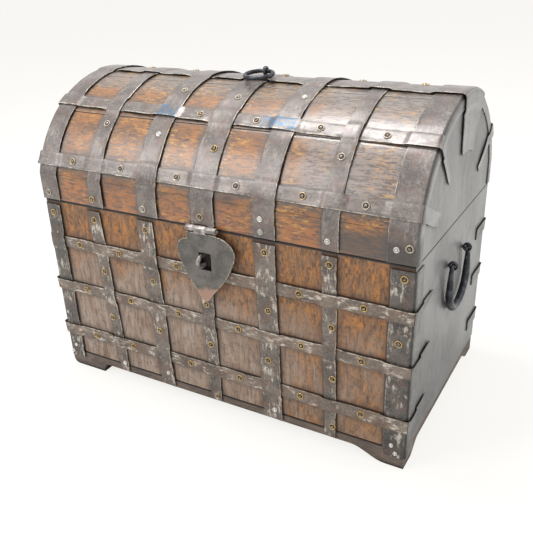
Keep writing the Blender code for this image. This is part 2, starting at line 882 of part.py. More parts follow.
def rim_strap_mesh(name, side, over):
    """The strap at the lid's rim: it folds over the edge and lies on the end as a flange."""
    across = Path(
        [
            (end_face - RIM_LEG, 0),
            (end_face - end_step, 0),
            (end_face, -end_step),
            (end_face, -RIM_FLANGE),
        ],
        -1,
    )
    rows = []
    end = profile_length - STRAP_END_INSET
    for place in stations(STRAP_END_INSET, end, profile_corners(), over, True):
        row = []
        for mark in across.marks:
            point, out = across.at(mark)
            point = point + out * level(place, over)
            if point.y < 0:
                depth = profile_inward(place, -point.y)
            else:
                depth = profile_point(place, point.y)
            row.append((side * point.x, depth.x, depth.y))
        rows.append(row)
    return sheet_mesh(name, rows, lid_core)


def long_strap_mesh(name, index):
    """A strap along the lid: a tab on each end, and its weave with the cross straps."""
    path = Path(
        [
            (-end_face, -TAB_LENGTH),
            (-end_face, -end_step),
            (-end_face + end_step, 0),
            (end_face - end_step, 0),
            (end_face, -end_step),
            (end_face, -TAB_LENGTH),
        ],
        -1,
    )
    total = path.length()
    straight = path.marks[2] - (end_step - end_face)
    tab_low = TAB_LENGTH - RIM_FLANGE
    over = []
    if LONG_OVER[index][0] == "o":
        over.append((tab_low, straight - end_face + RIM_LEG))
    for column in range(5):
        if LONG_OVER[index][column + 1] == "o":
            low, high = lid_column_span(column)
            over.append((straight + low, straight + high))
    if LONG_OVER[index][6] == "o":
        over.append((straight + end_face - RIM_LEG, total - tab_low))
    width = long_strap_width(index)
    steps = max(2, round(width / LONG_STRAP_WIDTH * 2) - 2)
    tip = TAB_TIP_SHARES[index]
    rows = []
    for place in stations(0, total, path.marks, over):
        point, out = path.at(place)
        point = point + out * level(place, over)
        middle = long_strap_angle(index, point.x)
        whole = min(1, min(place, total - place) / (TAB_LENGTH - end_step))
        half = width / 2 / dome_radius * (tip + (1 - tip) * whole)
        row = []
        for k in range(steps + 1):
            angle = middle + half * (2 * k / steps - 1)
            depth = dome_point(angle, dome_radius + point.y)
            row.append((point.x, depth.x, depth.y))
        rows.append(row)
    nails = []
    for x in panel_middles(lid_columns()):
        nails.append(dome_nail(x, dome_place(long_strap_angle(index, x))))
    return sheet_mesh(name, rows, lid_core), nails


def lid_columns():
    """The spans across the lid of its seven cross straps."""
    columns = [(-end_face, -end_face + RIM_LEG)]
    columns += [lid_column_span(index) for index in range(5)]
    columns.append((end_face - RIM_LEG, end_face))
    return columns


def build_lid_straps(lid):
    crossing = {}
    leaf_top = long_strap_span(0, 0)[0] + LONG_STRAP_WIDTH / 2
    for index, (low, high) in enumerate(lid_columns()):
        name = f"lid_cross_strap_{index + 1}"
        x = (low + high) / 2
        over = lid_over(index, x)
        nails = cross_nails(x, LID_NAIL_INSET)
        if index in (0, 6):
            data = rim_strap_mesh(name, -1 if index == 0 else 1, over)
        else:
            start = STRAP_END_INSET
            end = profile_length - STRAP_END_INSET
            if index == 3:
                start = leaf_top + GAP
                nails = nails[1:]
            data = cross_strap_mesh(name, low, high, start, end, over)
        crossing[index] = add_strap(name, data, nails, lid)
    long_straps = []
    for k, word in enumerate(("front_low", "front_high", "ridge", "back")):
        name = f"lid_{word}_strap"
        data, nails = long_strap_mesh(name, k)
        long_straps.append(add_strap(name, data, nails, lid))
    return crossing[3], long_straps[2], leaf_top


# Back hinges

def hinge_axis_place():
    return (0, lid_half_depth + GAP + HINGE_KNUCKLE_RADIUS, BOX_TOP)


def build_leaf(name, parent, centre_x, knuckles, plate, tab, nail_heights):
    """A hinge leaf: a plate, its knuckles joined to it by short tabs, and its nails."""
    _, axis_y, axis_z = hinge_axis_place()
    bore = (HINGE_PIN_RADIUS + GAP) / math.cos(math.pi / HINGE_SIDES)
    leaf = add_part(name, box_mesh(name, *plate), iron(name), parent)
    for number, (low, high) in enumerate(knuckles):
        (inner, floor), (outer, top) = tab
        data = box_mesh(name, (centre_x + low + GAP, inner, floor), (centre_x + high - GAP, outer, top))
        join(leaf, add_cutter(f"{name}_tab_{number}", data))
        start, end = (centre_x + low, axis_y, axis_z), (centre_x + high, axis_y, axis_z)
        data = cylinder_mesh(name, HINGE_KNUCKLE_RADIUS, start, end, HINGE_SIDES)
        join(leaf, add_cutter(f"{name}_knuckle_{number}", data))
    reach = HINGE_KNUCKLE_LENGTH * 2
    start, end = (centre_x - reach, axis_y, axis_z), (centre_x + reach, axis_y, axis_z)
    cut(leaf, add_cutter(name + "_bore", cylinder_mesh(name, bore, start, end, HINGE_SIDES)))
    face = plate[1][1] - NAIL_SINK
    add_nails(leaf, [((centre_x, face, height), (0, 1, 0)) for height in nail_heights])


def build_hinges(lid):
    """Two surface hinges: outer knuckles on the box, the middle one on the lid, and a pin."""
    _, axis_y, axis_z = hinge_axis_place()
    length = HINGE_KNUCKLE_LENGTH
    reach = length * 3 / 2
    outer = ((-reach, -length / 2 - GAP), (length / 2 + GAP, reach))
    middle = ((-length / 2, length / 2),)
    clear = HINGE_KNUCKLE_RADIUS + GAP
    for side, word in ((-1, "left"), (1, "right")):
        x = side * BOX_WIDTH * HINGE_PLACE_SHARE
        inner_y = half_depth + GAP
        floor = BOX_TOP - HINGE_BASE_LEAF
        plate = ((x - reach, inner_y, floor), (x + reach, inner_y + HINGE_LEAF_THICK, BOX_TOP - clear))
        tab_end = axis_y - HINGE_PIN_RADIUS - GAP * 2
        tab = ((inner_y, BOX_TOP - clear - GAP), (tab_end, BOX_TOP))
        heights = [floor + HINGE_BASE_LEAF * share for share in HINGE_BASE_NAIL_SHARES]
        build_leaf(f"box_{word}_hinge_leaf", None, x, outer, plate, tab, heights)

        inner_y = lid_half_depth + GAP
        face = inner_y + HINGE_LEAF_THICK
        plate = ((x - reach, inner_y, lid_bottom + clear), (x + reach, face, lid_bottom + HINGE_LID_LEAF))
        tab = ((inner_y, lid_bottom), (face, lid_bottom + clear + GAP))
        heights = [lid_bottom + HINGE_LID_LEAF * HINGE_LID_NAIL_SHARE]
        build_leaf(f"lid_{word}_hinge_leaf", lid, x, middle, plate, tab, heights)

        name = f"{word}_hinge_pin"
        start, end = (x - reach - GAP * 2, axis_y, axis_z), (x + reach + GAP, axis_y, axis_z)
        stem = cylinder_mesh(name, HINGE_PIN_RADIUS, start, end, PIN_SIDES)
        pin = add_part(name, stem, iron(name, WORN_IRON))
        tip = (x + reach + GAP + HINGE_PIN_HEAD_DEPTH, axis_y, axis_z)
        head = (x + reach + GAP - HINGE_PIN_HEAD_DEPTH / 4, axis_y, axis_z)
        cap = cylinder_mesh(name, HINGE_PIN_HEAD, (x + reach + GAP, axis_y, axis_z), tip, PIN_SIDES)
        join(pin, add_cutter(name + "_cap", cap))
        neck = cylinder_mesh(name, HINGE_PIN_RADIUS * HINGE_PIN_NECK_SHARE, head, tip, PIN_SIDES)
        join(pin, add_cutter(name + "_neck", neck))


# Hasp, its leaf and pin, and the staple

def hasp_axis_height():
    return BOX_TOP + GAP


def hasp_axis_place():
    return (0, -(lid_half_depth + GAP + HASP_KNUCKLE_RADIUS), hasp_axis_height())


def hasp_knuckle_spans():
    """The three knuckles from left to right, about the hasp's middle."""
    total = sum(HASP_KNUCKLES)
    edges = [-total / 2]
    for length in HASP_KNUCKLES:
        edges.append(edges[-1] + length)
    return [(low + GAP / 2, high - GAP / 2) for low, high in zip(edges, edges[1:])]


def hasp_side(neck_end, wide, widest):
    """One edge of the hasp: a round shoulder out to its widest, then the flank down to the tip."""
    neck = HASP_NECK_WIDTH / 2
    shoulder = widest - neck_end
    points = [(neck, -HASP_KNUCKLE_RADIUS - GAP * 2), (neck, -neck_end)]
    for i in range(1, HASP_SHOULDER_STEPS + 1):
        angle = math.pi / 2 * (1 - i / HASP_SHOULDER_STEPS)
        across = neck + (wide - neck) * math.cos(angle)
        points.append((across, -widest + shoulder * math.sin(angle)))
    fall = HASP_LENGTH - HASP_TIP_RADIUS - widest
    points += [(wide * out, -widest - fall * down) for down, out in HASP_FLANK_SHARES]
    return points


def hasp_outline():
    """The hasp's plate, hanging below its hinge at height 0: a heart with one fuller side."""
    right = hasp_side(HASP_RIGHT_NECK, HASP_RIGHT_WIDE, HASP_RIGHT_WIDEST)
    left = [(-x, z) for x, z in hasp_side(HASP_LEFT_NECK, HASP_LEFT_WIDE, HASP_LEFT_WIDEST)]
    tip_x, tip_z = HASP_TIP_SHIFT, -HASP_LENGTH + HASP_TIP_RADIUS
    tip = []
    for degrees in HASP_TIP_DEGREES:
        angle = math.radians(degrees)
        tip.append((tip_x + HASP_TIP_RADIUS * math.cos(angle), tip_z + HASP_TIP_RADIUS * math.sin(angle)))
    return right + tip + left[::-1]


def build_hasp(lid, hasp_axis, leaf_top):
    axis = Vector(hasp_axis_place())
    spans = hasp_knuckle_spans()
    bore = (HASP_PIN_RADIUS + GAP) / math.cos(math.pi / HINGE_SIDES)
    reach = sum(HASP_KNUCKLES)

    # The plate stands off the box, level with the front of its knuckle
    plate_y = axis.y - HASP_KNUCKLE_RADIUS * HASP_STANDOFF_SHARE
    half_hole = HASP_HOLE_WIDTH / 2
    hole = [
        (HASP_HOLE_SHIFT - half_hole, -HASP_HOLE_DEPTH),
        (HASP_HOLE_SHIFT + half_hole, -HASP_HOLE_DEPTH),
        (HASP_HOLE_SHIFT + half_hole, -HASP_HOLE_DEPTH - HASP_HOLE_HEIGHT),
        (HASP_HOLE_SHIFT - half_hole, -HASP_HOLE_DEPTH - HASP_HOLE_HEIGHT),
    ]
    curve = outline_curve("hasp", [hasp_outline(), hole], HASP_THICK)
    hasp = add_part("hasp", curve, iron("hasp", WORN_IRON), hasp_axis, (0, plate_y, axis.z), FACING_FRONT)
    hasp = as_mesh(hasp)
    low, high = spans[1]
    half = HASP_TAB_THICK / 2
    near = (low + GAP, plate_y - half, axis.z - HASP_TAB_DROP)
    tab = box_mesh("tab", near, (high - GAP, plate_y + half, axis.z - GAP))
    join(hasp, add_cutter("hasp_tab", tab))
    knuckle = cylinder_mesh(
        "knuckle", HASP_KNUCKLE_RADIUS, (low, axis.y, axis.z), (high, axis.y, axis.z), HINGE_SIDES
    )
    join(hasp, add_cutter("hasp_knuckle", knuckle))
    hole = cylinder_mesh("bore", bore, (-reach, axis.y, axis.z), (reach, axis.y, axis.z), HINGE_SIDES)
    cut(hasp, add_cutter("hasp_bore", hole))

    # The leaf follows the lid's front and ends under the lowest long strap
    low, high = lid_column_span(2)
    start = HASP_KNUCKLE_RADIUS + GAP * 2
    data = cross_strap_mesh("hasp_leaf", low, high, start, leaf_top, ())
    leaf = add_strap("hasp_leaf", data, [dome_nail((low + high) / 2, start + LID_NAIL_INSET)], lid, WORN_IRON)
    for number, (first, last) in enumerate((spans[0], spans[2])):
        inner = -(lid_half_depth + low_level)
        first_x, last_x = max(first, low) + GAP, min(last, high) - GAP
        corner = (first_x, inner - STRAP_THICK, axis.z)
        tab = box_mesh("tab", corner, (last_x, inner, lid_bottom + start + STRAP_THICK))
        join(leaf, add_cutter(f"hasp_leaf_tab_{number}", tab))
        knuckle = cylinder_mesh(
            "knuckle", HASP_KNUCKLE_RADIUS, (first, axis.y, axis.z), (last, axis.y, axis.z), HINGE_SIDES
        )
        join(leaf, add_cutter(f"hasp_leaf_knuckle_{number}", knuckle))
    hole = cylinder_mesh("bore", bore, (-reach, axis.y, axis.z), (reach, axis.y, axis.z), HINGE_SIDES)
    cut(leaf, add_cutter("hasp_leaf_bore", hole))

    first, last = spans[0][0], spans[2][1] + HASP_PIN_END
    start, end = (first, axis.y, axis.z), (last, axis.y, axis.z)
    pin = cylinder_mesh("hasp_pin", HASP_PIN_RADIUS, start, end, PIN_SIDES)
    pin = add_part("hasp_pin", pin, iron("hasp_pin", WORN_IRON), lid)
    round_shading(pin)


def build_staple(front_board, strap):
    """A bent bar through the middle strap and the front board, under the hasp's hole."""
    middle = hasp_axis_height() - HASP_HOLE_DEPTH - HASP_HOLE_HEIGHT / 2
    back = -(half_depth - BOARD_THICK) + LEG_BEYOND
    bend = -(half_depth + STAPLE_REACH - STAPLE_RADIUS - STAPLE_HALF_HEIGHT)
    points = [(STAPLE_SHIFT, back, middle + STAPLE_HALF_HEIGHT)]
    for i in range(STAPLE_ARC_STEPS + 1):
        angle = math.pi * (0.5 - i / STAPLE_ARC_STEPS)
        out = STAPLE_HALF_HEIGHT * math.cos(angle)
        points.append((STAPLE_SHIFT, bend - out, middle + STAPLE_HALF_HEIGHT * math.sin(angle)))
    points.append((STAPLE_SHIFT, back, middle - STAPLE_HALF_HEIGHT))
    data = wire_curve("hasp_staple", points, STAPLE_RADIUS)
    add_part("hasp_staple", data, iron("hasp_staple", WORN_IRON))
    for side in (-1, 1):
        height = middle + side * STAPLE_HALF_HEIGHT
        start = (STAPLE_SHIFT, -(half_depth + high_level + STRAP_THICK + CUT_OVERRUN), height)
        end = (STAPLE_SHIFT, back + CUT_OVERRUN, height)
        data = cylinder_mesh("leg", STAPLE_RADIUS + GAP * 2, start, end, STAPLE_HOLE_SIDES)
        cutter = add_cutter(f"staple_hole_{side}", data)
        cut(front_board, cutter)
        cut(strap, cutter)


# Eyes, handles and the ring

def eye_points(shank):
    """An eye in its own frame: the shank runs along -X, and the loop turns about Y."""
    radius = EYE_INNER_RADIUS + EYE_WIRE_RADIUS
    opening = math.radians(EYE_OPEN_DEGREES)
    points = [(-radius - shank, 0, 0), (-radius - EYE_WIRE_RADIUS, 0, 0)]
    turn = 2 * math.pi - opening
    for i in range(EYE_ARC_STEPS + 1):
        angle = math.pi - turn * i / EYE_ARC_STEPS
        points.append((radius * math.cos(angle), 0, radius * math.sin(angle)))
    return points


def eye_stand():
    """The height of an eye's middle above the face that it stands on."""
    return GAP + EYE_INNER_RADIUS + 2 * EYE_WIRE_RADIUS


def handle_axis_place(side):
    return (side * (end_face + eye_stand()), HANDLE_SHIFT, BOX_TOP * HANDLE_HEIGHT_SHARE)


def build_handle_eyes(side, name, board, sheet):
    place = Vector(handle_axis_place(side))
    shank = eye_stand() + end_step + BOARD_THICK + LEG_BEYOND - EYE_INNER_RADIUS - EYE_WIRE_RADIUS
    for side_y, word in ((-1, "front"), (1, "back")):
        y = place.y + side_y * HANDLE_EYE_SPACING / 2
        eye_name = f"{name}_{word}_eye"
        data = wire_curve(eye_name, eye_points(shank), EYE_WIRE_RADIUS)
        turn = (0, 0, 0) if side > 0 else (0, 0, math.pi)
        add_part(eye_name, data, iron(eye_name, BLACK_IRON), None, (place.x, y, place.z), turn)
        start = (place.x - side * EYE_INNER_RADIUS, y, place.z)
        end = (side * (half_width - BOARD_THICK - CUT_OVERRUN), y, place.z)
        data = cylinder_mesh("shank", EYE_WIRE_RADIUS + GAP * 2, start, end, 8)
        cutter = add_cutter(f"{eye_name}_hole", data)
        cut(board, cutter)
        cut(sheet, cutter)


def bail_points():
    """A hanging bail in its own frame: its ends turn in through the eyes on the Y axis."""
    eye = HANDLE_EYE_SPACING / 2
    out = eye + BAIL_END_OUT
    bend = BAIL_END_BEND
    near = bend * BAIL_BEND_SHARE
    half = [(eye - BAIL_TIP_IN, 0), (out - bend, 0), (out - near, -near), (out, -bend)]
    belly = BAIL_DROP * (1 - BAIL_BELLY_SHARE)
    for i in range(1, 4):
        share = i / 3
        across = out + (BAIL_HALF_WIDTH - out) * math.sin(share * math.pi / 2)
        half.append((across, -bend - (belly - bend) * share))
    for i in range(1, BAIL_STEPS + 1):
        angle = math.pi / 2 * i / BAIL_STEPS
        half.append((BAIL_HALF_WIDTH * math.cos(angle), -belly - (BAIL_DROP - belly) * math.sin(angle)))
    half = half[:-1] + [(0, -BAIL_DROP)]
    other = [(-y, z) for y, z in reversed(half[:-1])]
    return [(0, y, z) for y, z in half + other]


def bail_radii(points):
    """The bar swells from its ends to the middle of the grip."""
    thin = BAIL_END_RADIUS / BAIL_RADIUS
    radii = []
    for _, _, z in points:
        share = min(1, max(0, -z / (BAIL_DROP * BAIL_BELLY_SHARE)))
        radii.append(thin + (1 - thin) * share)
    return radii


def build_handle(side, name, axis):
    points = bail_points()
    data = wire_curve(name, points, BAIL_RADIUS, 2, bail_radii(points))
    add_part(name, data, iron(name, BLACK_IRON, 0.4), axis, handle_axis_place(side))


def ring_rest():
    """The height of the ring's eye, and the slope at which the ring lies over to the front."""
    eye = dome_axis + dome_radius + high_level + STRAP_THICK + eye_stand()
    span = 2 * (RING_OUTER_RADIUS - RING_WIRE_RADIUS)
    tilt = math.asin((eye_stand() - GAP - RING_WIRE_RADIUS) / span)
    return eye, tilt


def build_ring(lid, ring_axis, cut_through):
    eye_height, tilt = ring_rest()
    shank = eye_stand() + STAVE_THICK + LEG_BEYOND
    data = wire_curve("ring_eye", eye_points(shank), EYE_WIRE_RADIUS)
    place = (RING_EYE_X, 0, eye_height)
    turn = (0, -math.pi / 2, math.pi / 2)
    add_part("ring_eye", data, iron("ring_eye", BLACK_IRON), lid, place, turn)
    bottom = dome_axis + dome_radius - STAVE_THICK - CUT_OVERRUN
    data = cylinder_mesh(
        "shank", EYE_WIRE_RADIUS + GAP * 2, (RING_EYE_X, 0, bottom), (RING_EYE_X, 0, eye_height), 8
    )
    cutter = add_cutter("ring_eye_hole", data)
    for thing in cut_through:
        cut(thing, cutter)

    mean = RING_OUTER_RADIUS - RING_WIRE_RADIUS
    bpy.ops.mesh.primitive_torus_add(
        major_segments=RING_SEGMENTS, minor_segments=RING_SIDES,
        major_radius=mean, minor_radius=RING_WIRE_RADIUS,
    )
    ring = bpy.context.active_object
    data = ring.data.copy()
    bpy.data.objects.remove(ring, do_unlink=True)
    shape = bmesh.new()
    shape.from_mesh(data)
    bmesh.ops.translate(shape, verts=shape.verts, vec=(0, -mean, 0))
    shape.to_mesh(data)
    shape.free()
    data.materials.clear()
    ring = add_part("top_ring", data, iron("top_ring", BLACK_IRON, 0.35), ring_axis, place, (tilt, 0, 0))
    ring.data.shade_smooth()


def build():
    clear_scene()
    lid = add_axis("lid_axis", hinge_axis_place())
    hasp_axis = add_axis("hasp_axis", hasp_axis_place(), lid)
    ring_axis = add_axis("ring_axis", (RING_EYE_X, 0, ring_rest()[0]), lid)

    front_board, left_board, right_board = build_boards()
    left_sheet, right_sheet = build_end_sheets()
    build_plinth()
    columns = build_box_straps()

    barrel = build_lid_boards(lid)
    middle_strap, ridge_strap, leaf_top = build_lid_straps(lid)

    build_hinges(lid)
    build_hasp(lid, hasp_axis, leaf_top)
    build_staple(front_board, columns[3])
    sides = ((-1, "left", left_board, left_sheet), (1, "right", right_board, right_sheet))
    for side, word, board, sheet in sides:
        axis = add_axis(f"{word}_handle_axis", handle_axis_place(side))
        build_handle_eyes(side, f"{word}_handle", board, sheet)
        build_handle(side, f"{word}_handle", axis)
    build_ring(lid, ring_axis, (barrel, middle_strap, ridge_strap))


build()
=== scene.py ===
"""The looks of the dome top chest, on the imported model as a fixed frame.

Metres, +Z up, front towards -Y. The straps, nails, staves, hasp, handles and ring are modelled
here again with their wear, and each rides on its CAD body. Boards and sheets keep their CAD
solids and get their finish here.
"""
import json
import math
from dataclasses import dataclass

import bmesh
import bpy
from mathutils import Matrix, Vector, noise

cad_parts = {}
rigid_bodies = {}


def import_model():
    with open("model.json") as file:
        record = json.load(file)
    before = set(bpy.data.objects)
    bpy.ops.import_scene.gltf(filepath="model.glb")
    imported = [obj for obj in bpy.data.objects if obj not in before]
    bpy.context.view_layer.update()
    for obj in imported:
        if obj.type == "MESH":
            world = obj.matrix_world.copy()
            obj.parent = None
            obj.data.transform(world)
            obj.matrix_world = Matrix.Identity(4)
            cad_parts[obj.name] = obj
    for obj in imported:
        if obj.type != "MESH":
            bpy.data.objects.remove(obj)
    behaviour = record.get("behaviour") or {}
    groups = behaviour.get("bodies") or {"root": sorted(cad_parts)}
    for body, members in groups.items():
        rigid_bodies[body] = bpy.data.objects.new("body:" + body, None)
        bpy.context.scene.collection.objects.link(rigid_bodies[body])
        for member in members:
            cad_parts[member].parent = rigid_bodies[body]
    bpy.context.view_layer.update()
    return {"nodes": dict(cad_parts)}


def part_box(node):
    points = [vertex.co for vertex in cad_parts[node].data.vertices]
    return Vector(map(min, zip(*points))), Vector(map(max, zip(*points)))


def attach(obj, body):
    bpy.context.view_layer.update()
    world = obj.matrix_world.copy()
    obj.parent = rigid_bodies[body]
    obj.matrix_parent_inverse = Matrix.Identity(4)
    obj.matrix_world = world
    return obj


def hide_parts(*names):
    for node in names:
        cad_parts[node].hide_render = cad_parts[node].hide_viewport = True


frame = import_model()
nodes = frame["nodes"]

# The photograph's camera
PICTURE = 533
FOCAL_PIXELS = 687.56
CAMERA_PLACE = Vector((0.3971, -0.6818, 0.4999))
CAMERA_AZIMUTH = math.radians(30.45)
CAMERA_PITCH = math.radians(25.05)
CAMERA_ROLL = math.radians(2.17)
SENSOR = 36

# The studio: each softbox has a name, a place, a target, a size and its watts
WHITE = (1, 1, 1)
SOFT_LIGHT = 0.56
SOFTBOXES = (
    ("key_light", (-1.3, -1.6, 1.7), (0, 0, 0.2), 1.2, 26),
    ("side_light", (1.6, 0.9, 1.5), (0, 0, 0.2), 1.3, 15),
    ("window_light", (-0.39, 0.03, 1.855), (0.1, 0, 0.33), 0.6, 20),
)
FLOOR_SIZE = 40.0
FLOOR_COLOUR = (0.93, 0.925, 0.90)
FLOOR_ROUGHNESS = 0.8
FLOOR_GLOW = (1.055, 1.04, 1.005)
FLOOR_GLOW_SHARE = 0.78

# Sizes read from the frame
board_low, board_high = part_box("box_front_board")
half_width = board_high[0]
half_depth = -board_low[1]
box_top = board_high[2]
end_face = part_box("box_right_sheet")[1][0]
lid_board_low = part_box("lid_front_board")[0]
lid_half_depth = -lid_board_low[1]
lid_bottom = lid_board_low[2]
lid_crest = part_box("lid_barrel")[1][2]

# Sizes that the frame's boxes don't give, as in the part's source
GAP = 0.0003
LID_SKIRT = 0.0324
STRAP_THICK = 0.0012
STRAP_WIDTH = 0.020
HOOP_WIDTH = 0.0145
LONG_STRAP_WIDTH = 0.0155
RIDGE_STRAP_WIDTH = 0.078
LONG_STRAP_WIDTHS = (LONG_STRAP_WIDTH, LONG_STRAP_WIDTH, RIDGE_STRAP_WIDTH, LONG_STRAP_WIDTH)
CORNER_LEG_FRONT = 0.0235
CORNER_LEG_END = 0.020
RIM_LEG = 0.0275
RIM_FLANGE = 0.013
WEAVE_MARGIN = 0.0008
WEAVE_RAMP = 0.004
STUB_LENGTH = 0.053
BACK_STUB_LENGTH = 0.040
TAB_LENGTH = 0.060

# Planks of the lid and boards: how they are made and worn, their stains, and their painted shade and sheen
DOME_SEGMENTS = 36
STAVE_JOINTS = (8, 15, 23, 30)
STAVE_THICK = 0.010
STAVE_GAP = 0.0005
STAVE_EASE = 0.0004
STAVE_WAVER = 0.0002
STAVE_WAVER_LENGTH = 0.03
STAVE_WAVER_STRETCH = 3
BACK_SKIRT_SEED = 9
PLANK_STEP = 0.003
PLANK_STEPS_ALONG = 176
PLANK_EASE = ((0, 1), (0.3, 0.45), (1, 0))
EASE_DIRT_AND_SHADE = 0.9
BACK_SHADE = 0.6
SEAM_EASE = 0.0018
# The width of the painted shade along the seams of the lid, the box and the plinth
SEAM_SHADE = 0.0013
SHEET_SEAM = 0.0022
HOLE_SHADE_FADE = 0.004
NEAR_REACH = 0.012
HIGH_FROM = 30
HIGH_FADE = 16
# Where a stain on the right of the lid is lightened by painted sheen
STAIN_AND_SHEEN_FROM = 0.060
STAIN_AND_SHEEN_TO = 0.150
STAIN_AND_SHEEN_LOW = 0.268
STAIN_AND_SHEEN_HIGH = 0.295
SMOKE_MIDDLE = (0.187, 0.2430)
SMOKE_HALF = (0.034, 0.0090)
SMOKE_AND_SHADE_FADE = 0.016
SMOKE_AND_SHADE_SHARE = 0.82
# Painted shade low on the rim strap at the right end
RIM_SHADE_MIDDLE = (0.220, 0.2400)
RIM_SHADE_HALF = (0.016, 0.0125)
LOW_ROW_FROM = 0.264
LOW_ROW_TO = 0.254
BOARD_THICK = 0.012
BOARD_EASE = 0.0010
PLINTH_EASE = 0.0008
WAX_ROUGHNESS = 0.27

# Places of the nails. A hoop's or long strap's nail has its x, a column's its x and its height,
# and a corner strap's its height and its place across. A cross strap's nail has its x, its height
# or else its angle in degrees, which is below zero, and its tone.
HOOP_NAILS = (
    (-0.1845, -0.1228, -0.0401, 0.1120, 0.1823),
    (-0.1848, -0.1139, -0.0437, 0.0371, 0.1139, 0.1812),
    (-0.1799, -0.1191, -0.0329, 0.0350, 0.1118, 0.1821),
)
COLUMN_NAILS = (
    ((-0.1544, 0.2169), (-0.1498, 0.1516), (-0.1472, 0.0894), (-0.1377, 0.0256)),
    ((-0.0791, 0.2171), (-0.0764, 0.1539), (-0.0741, 0.0891), (-0.0686, 0.0313)),
    ((-0.0033, 0.1410), (-0.0015, 0.0897), (0.0024, 0.0200)),
    ((0.0736, 0.2185), (0.0755, 0.1518), (0.0732, 0.0901), (0.0794, 0.0262)),
    ((0.1457, 0.2189), (0.1483, 0.1502), (0.1498, 0.0891), (0.1502, 0.0281)),
)
SILVER_COLUMN_NAILS = ((0, 3), (1, 3), (3, 3))
SMALL_COLUMN_NAILS = ((1, 3), (2, 2))
CORNER_LOW_NAILS = 0.05
CORNER_NAILS = {
    -1: ((0.2170, 0.0115), (0.0305, 0.0123), (0.0197, 0.0190)),
    1: ((0.2193, 0.0133), (0.1500, 0.0110), (0.0279, 0.0091), (0.0188, 0.0135)),
}
LONG_NAILS = (
    (-0.1795, -0.1088, -0.0329, 0.0405, 0.1149, 0.1794),
    (-0.0289, 0.0407, 0.1131, 0.1814),
    (-0.1756, -0.1080, 0.0172, 0.1124, 0.1818),
    (-0.1756, -0.1080, -0.0290, 0.0402, 0.1124, 0.1818),
)
CROSS_NAILS = (
    ((-0.2197, 0.2425, 0.5),),
    ((-0.1453, -45.6, 0.5), (-0.1515, 0.2431, 0.15)),
    ((-0.0697, -21.3, 0.5), (-0.0699, -47.8, 1), (-0.0781, 0.2426, 0.7)),
    ((0.0032, -23.5, 0.5), (0.0048, -51.3, 0.1)),
    ((0.0773, -19.5, 0.9), (0.0705, 0.2547, 1), (0.0708, 0.2411, 0.8)),
    ((0.1447, -48.3, 0.5), (0.1442, 0.2440, 0.9)),
    ((0.2125, 0.2478, 0.9), (0.2245, 0.2508, 0.4)),
)
BACK_NAIL_ANGLE = math.radians(37)
LEAF_NAIL = (-0.0019, 0.2453)
LEAF_NAIL_TONE = 0.25
LID_NAIL_INSET = 0.0085
LONG_NAIL_TONES = (0.25, 0.45, 0.35, 0.5)

# Nail heads: a tone is from 0 for brass, over a half for dull, to 1 for silver
BRASS = 0.1
DULL = 0.5
SILVER = 0.95
SILVER_FROM = 0.75
NAIL_RADIUS = 0.0040
NAIL_HEIGHT = 0.0018
NAIL_SIDES = 18
NAIL_TILT = 0.12
NAIL_TILT_LENGTH = 0.3
SILVER_SIZE = 0.74
SMALL_SIZE = 0.6
NAIL_UNEVEN = 0.06
NAIL_UNEVEN_LENGTH = 0.7
NAIL_PROFILE = (
    (1.0, -0.35), (1.0, 0.30), (0.96, 0.62), (0.88, 0.80), (0.78, 0.80), (0.70, 0.62),
    (0.64, 0.35), (0.56, 0.30), (0.48, 0.55), (0.34, 0.80), (0.16, 0.92),
)

# Hasp and staple
HASP_KNUCKLE_RADIUS = 0.0036
HASP_KNUCKLES = (0.0098, 0.0154, 0.0130)
HASP_STANDOFF_SHARE = 0.43
HASP_THICK = 0.0015
HASP_TAB_THICK = 0.00135
HASP_TAB_DROP = 0.0055
HASP_NECK_WIDTH = 0.0365
HASP_RIGHT_NECK = 0.0052
HASP_LEFT_NECK = 0.0124
HASP_RIGHT_WIDE = 0.0412
HASP_LEFT_WIDE = 0.0324
HASP_RIGHT_WIDEST = 0.0240
HASP_LEFT_WIDEST = 0.0263
HASP_LENGTH = 0.0840
HASP_FLANK_SHARES = ((0.18, 0.935), (0.52, 0.71), (0.76, 0.46), (0.89, 0.31))
HASP_TIP_RADIUS = 0.0065
HASP_TIP_SHIFT = 0.0002
HASP_TIP_DEGREES = (-35, -50, -65, -78, -90, -105, -120, -140, -158)
HASP_HOLE_WIDTH = 0.0150
HASP_HOLE_HEIGHT = 0.0200
HASP_HOLE_DEPTH = 0.0262
HASP_HOLE_SHIFT = 0.0033
HASP_CLEAR = 0.0042
HASP_WAVER = 0.00025
HASP_WAVER_LENGTH = 0.02
HASP_WAVER_SEED = 3
HASP_RIM = 0.0016
HASP_EDGE_EASE = 0.00045
HASP_SIDES = 200
HASP_SHOULDER_STEPS = 10
HASP_RING_SHARES = (0, 0.02, 0.06, 0.16, 0.28, 0.40, 0.52, 0.64, 0.76, 0.86, 0.93, 0.97, 0.99, 1)
HASP_STAIN_TOP = -0.0690
HASP_STAIN_SLOPE = 0.20
HASP_STAIN_FADE = 0.0012
STAPLE_RADIUS = 0.0022
STAPLE_HALF_HEIGHT = 0.0059
STAPLE_REACH = 0.0160
STAPLE_SHIFT = -0.0012
STAPLE_DEPTH = 0.009
STAPLE_STEPS = 24
STAPLE_SIDES = 20
KNUCKLE_STEPS = 10
KNUCKLE_SIDES = 28
KNUCKLE_EASE = 0.0004
KNUCKLE_END_SHARE = 0.9

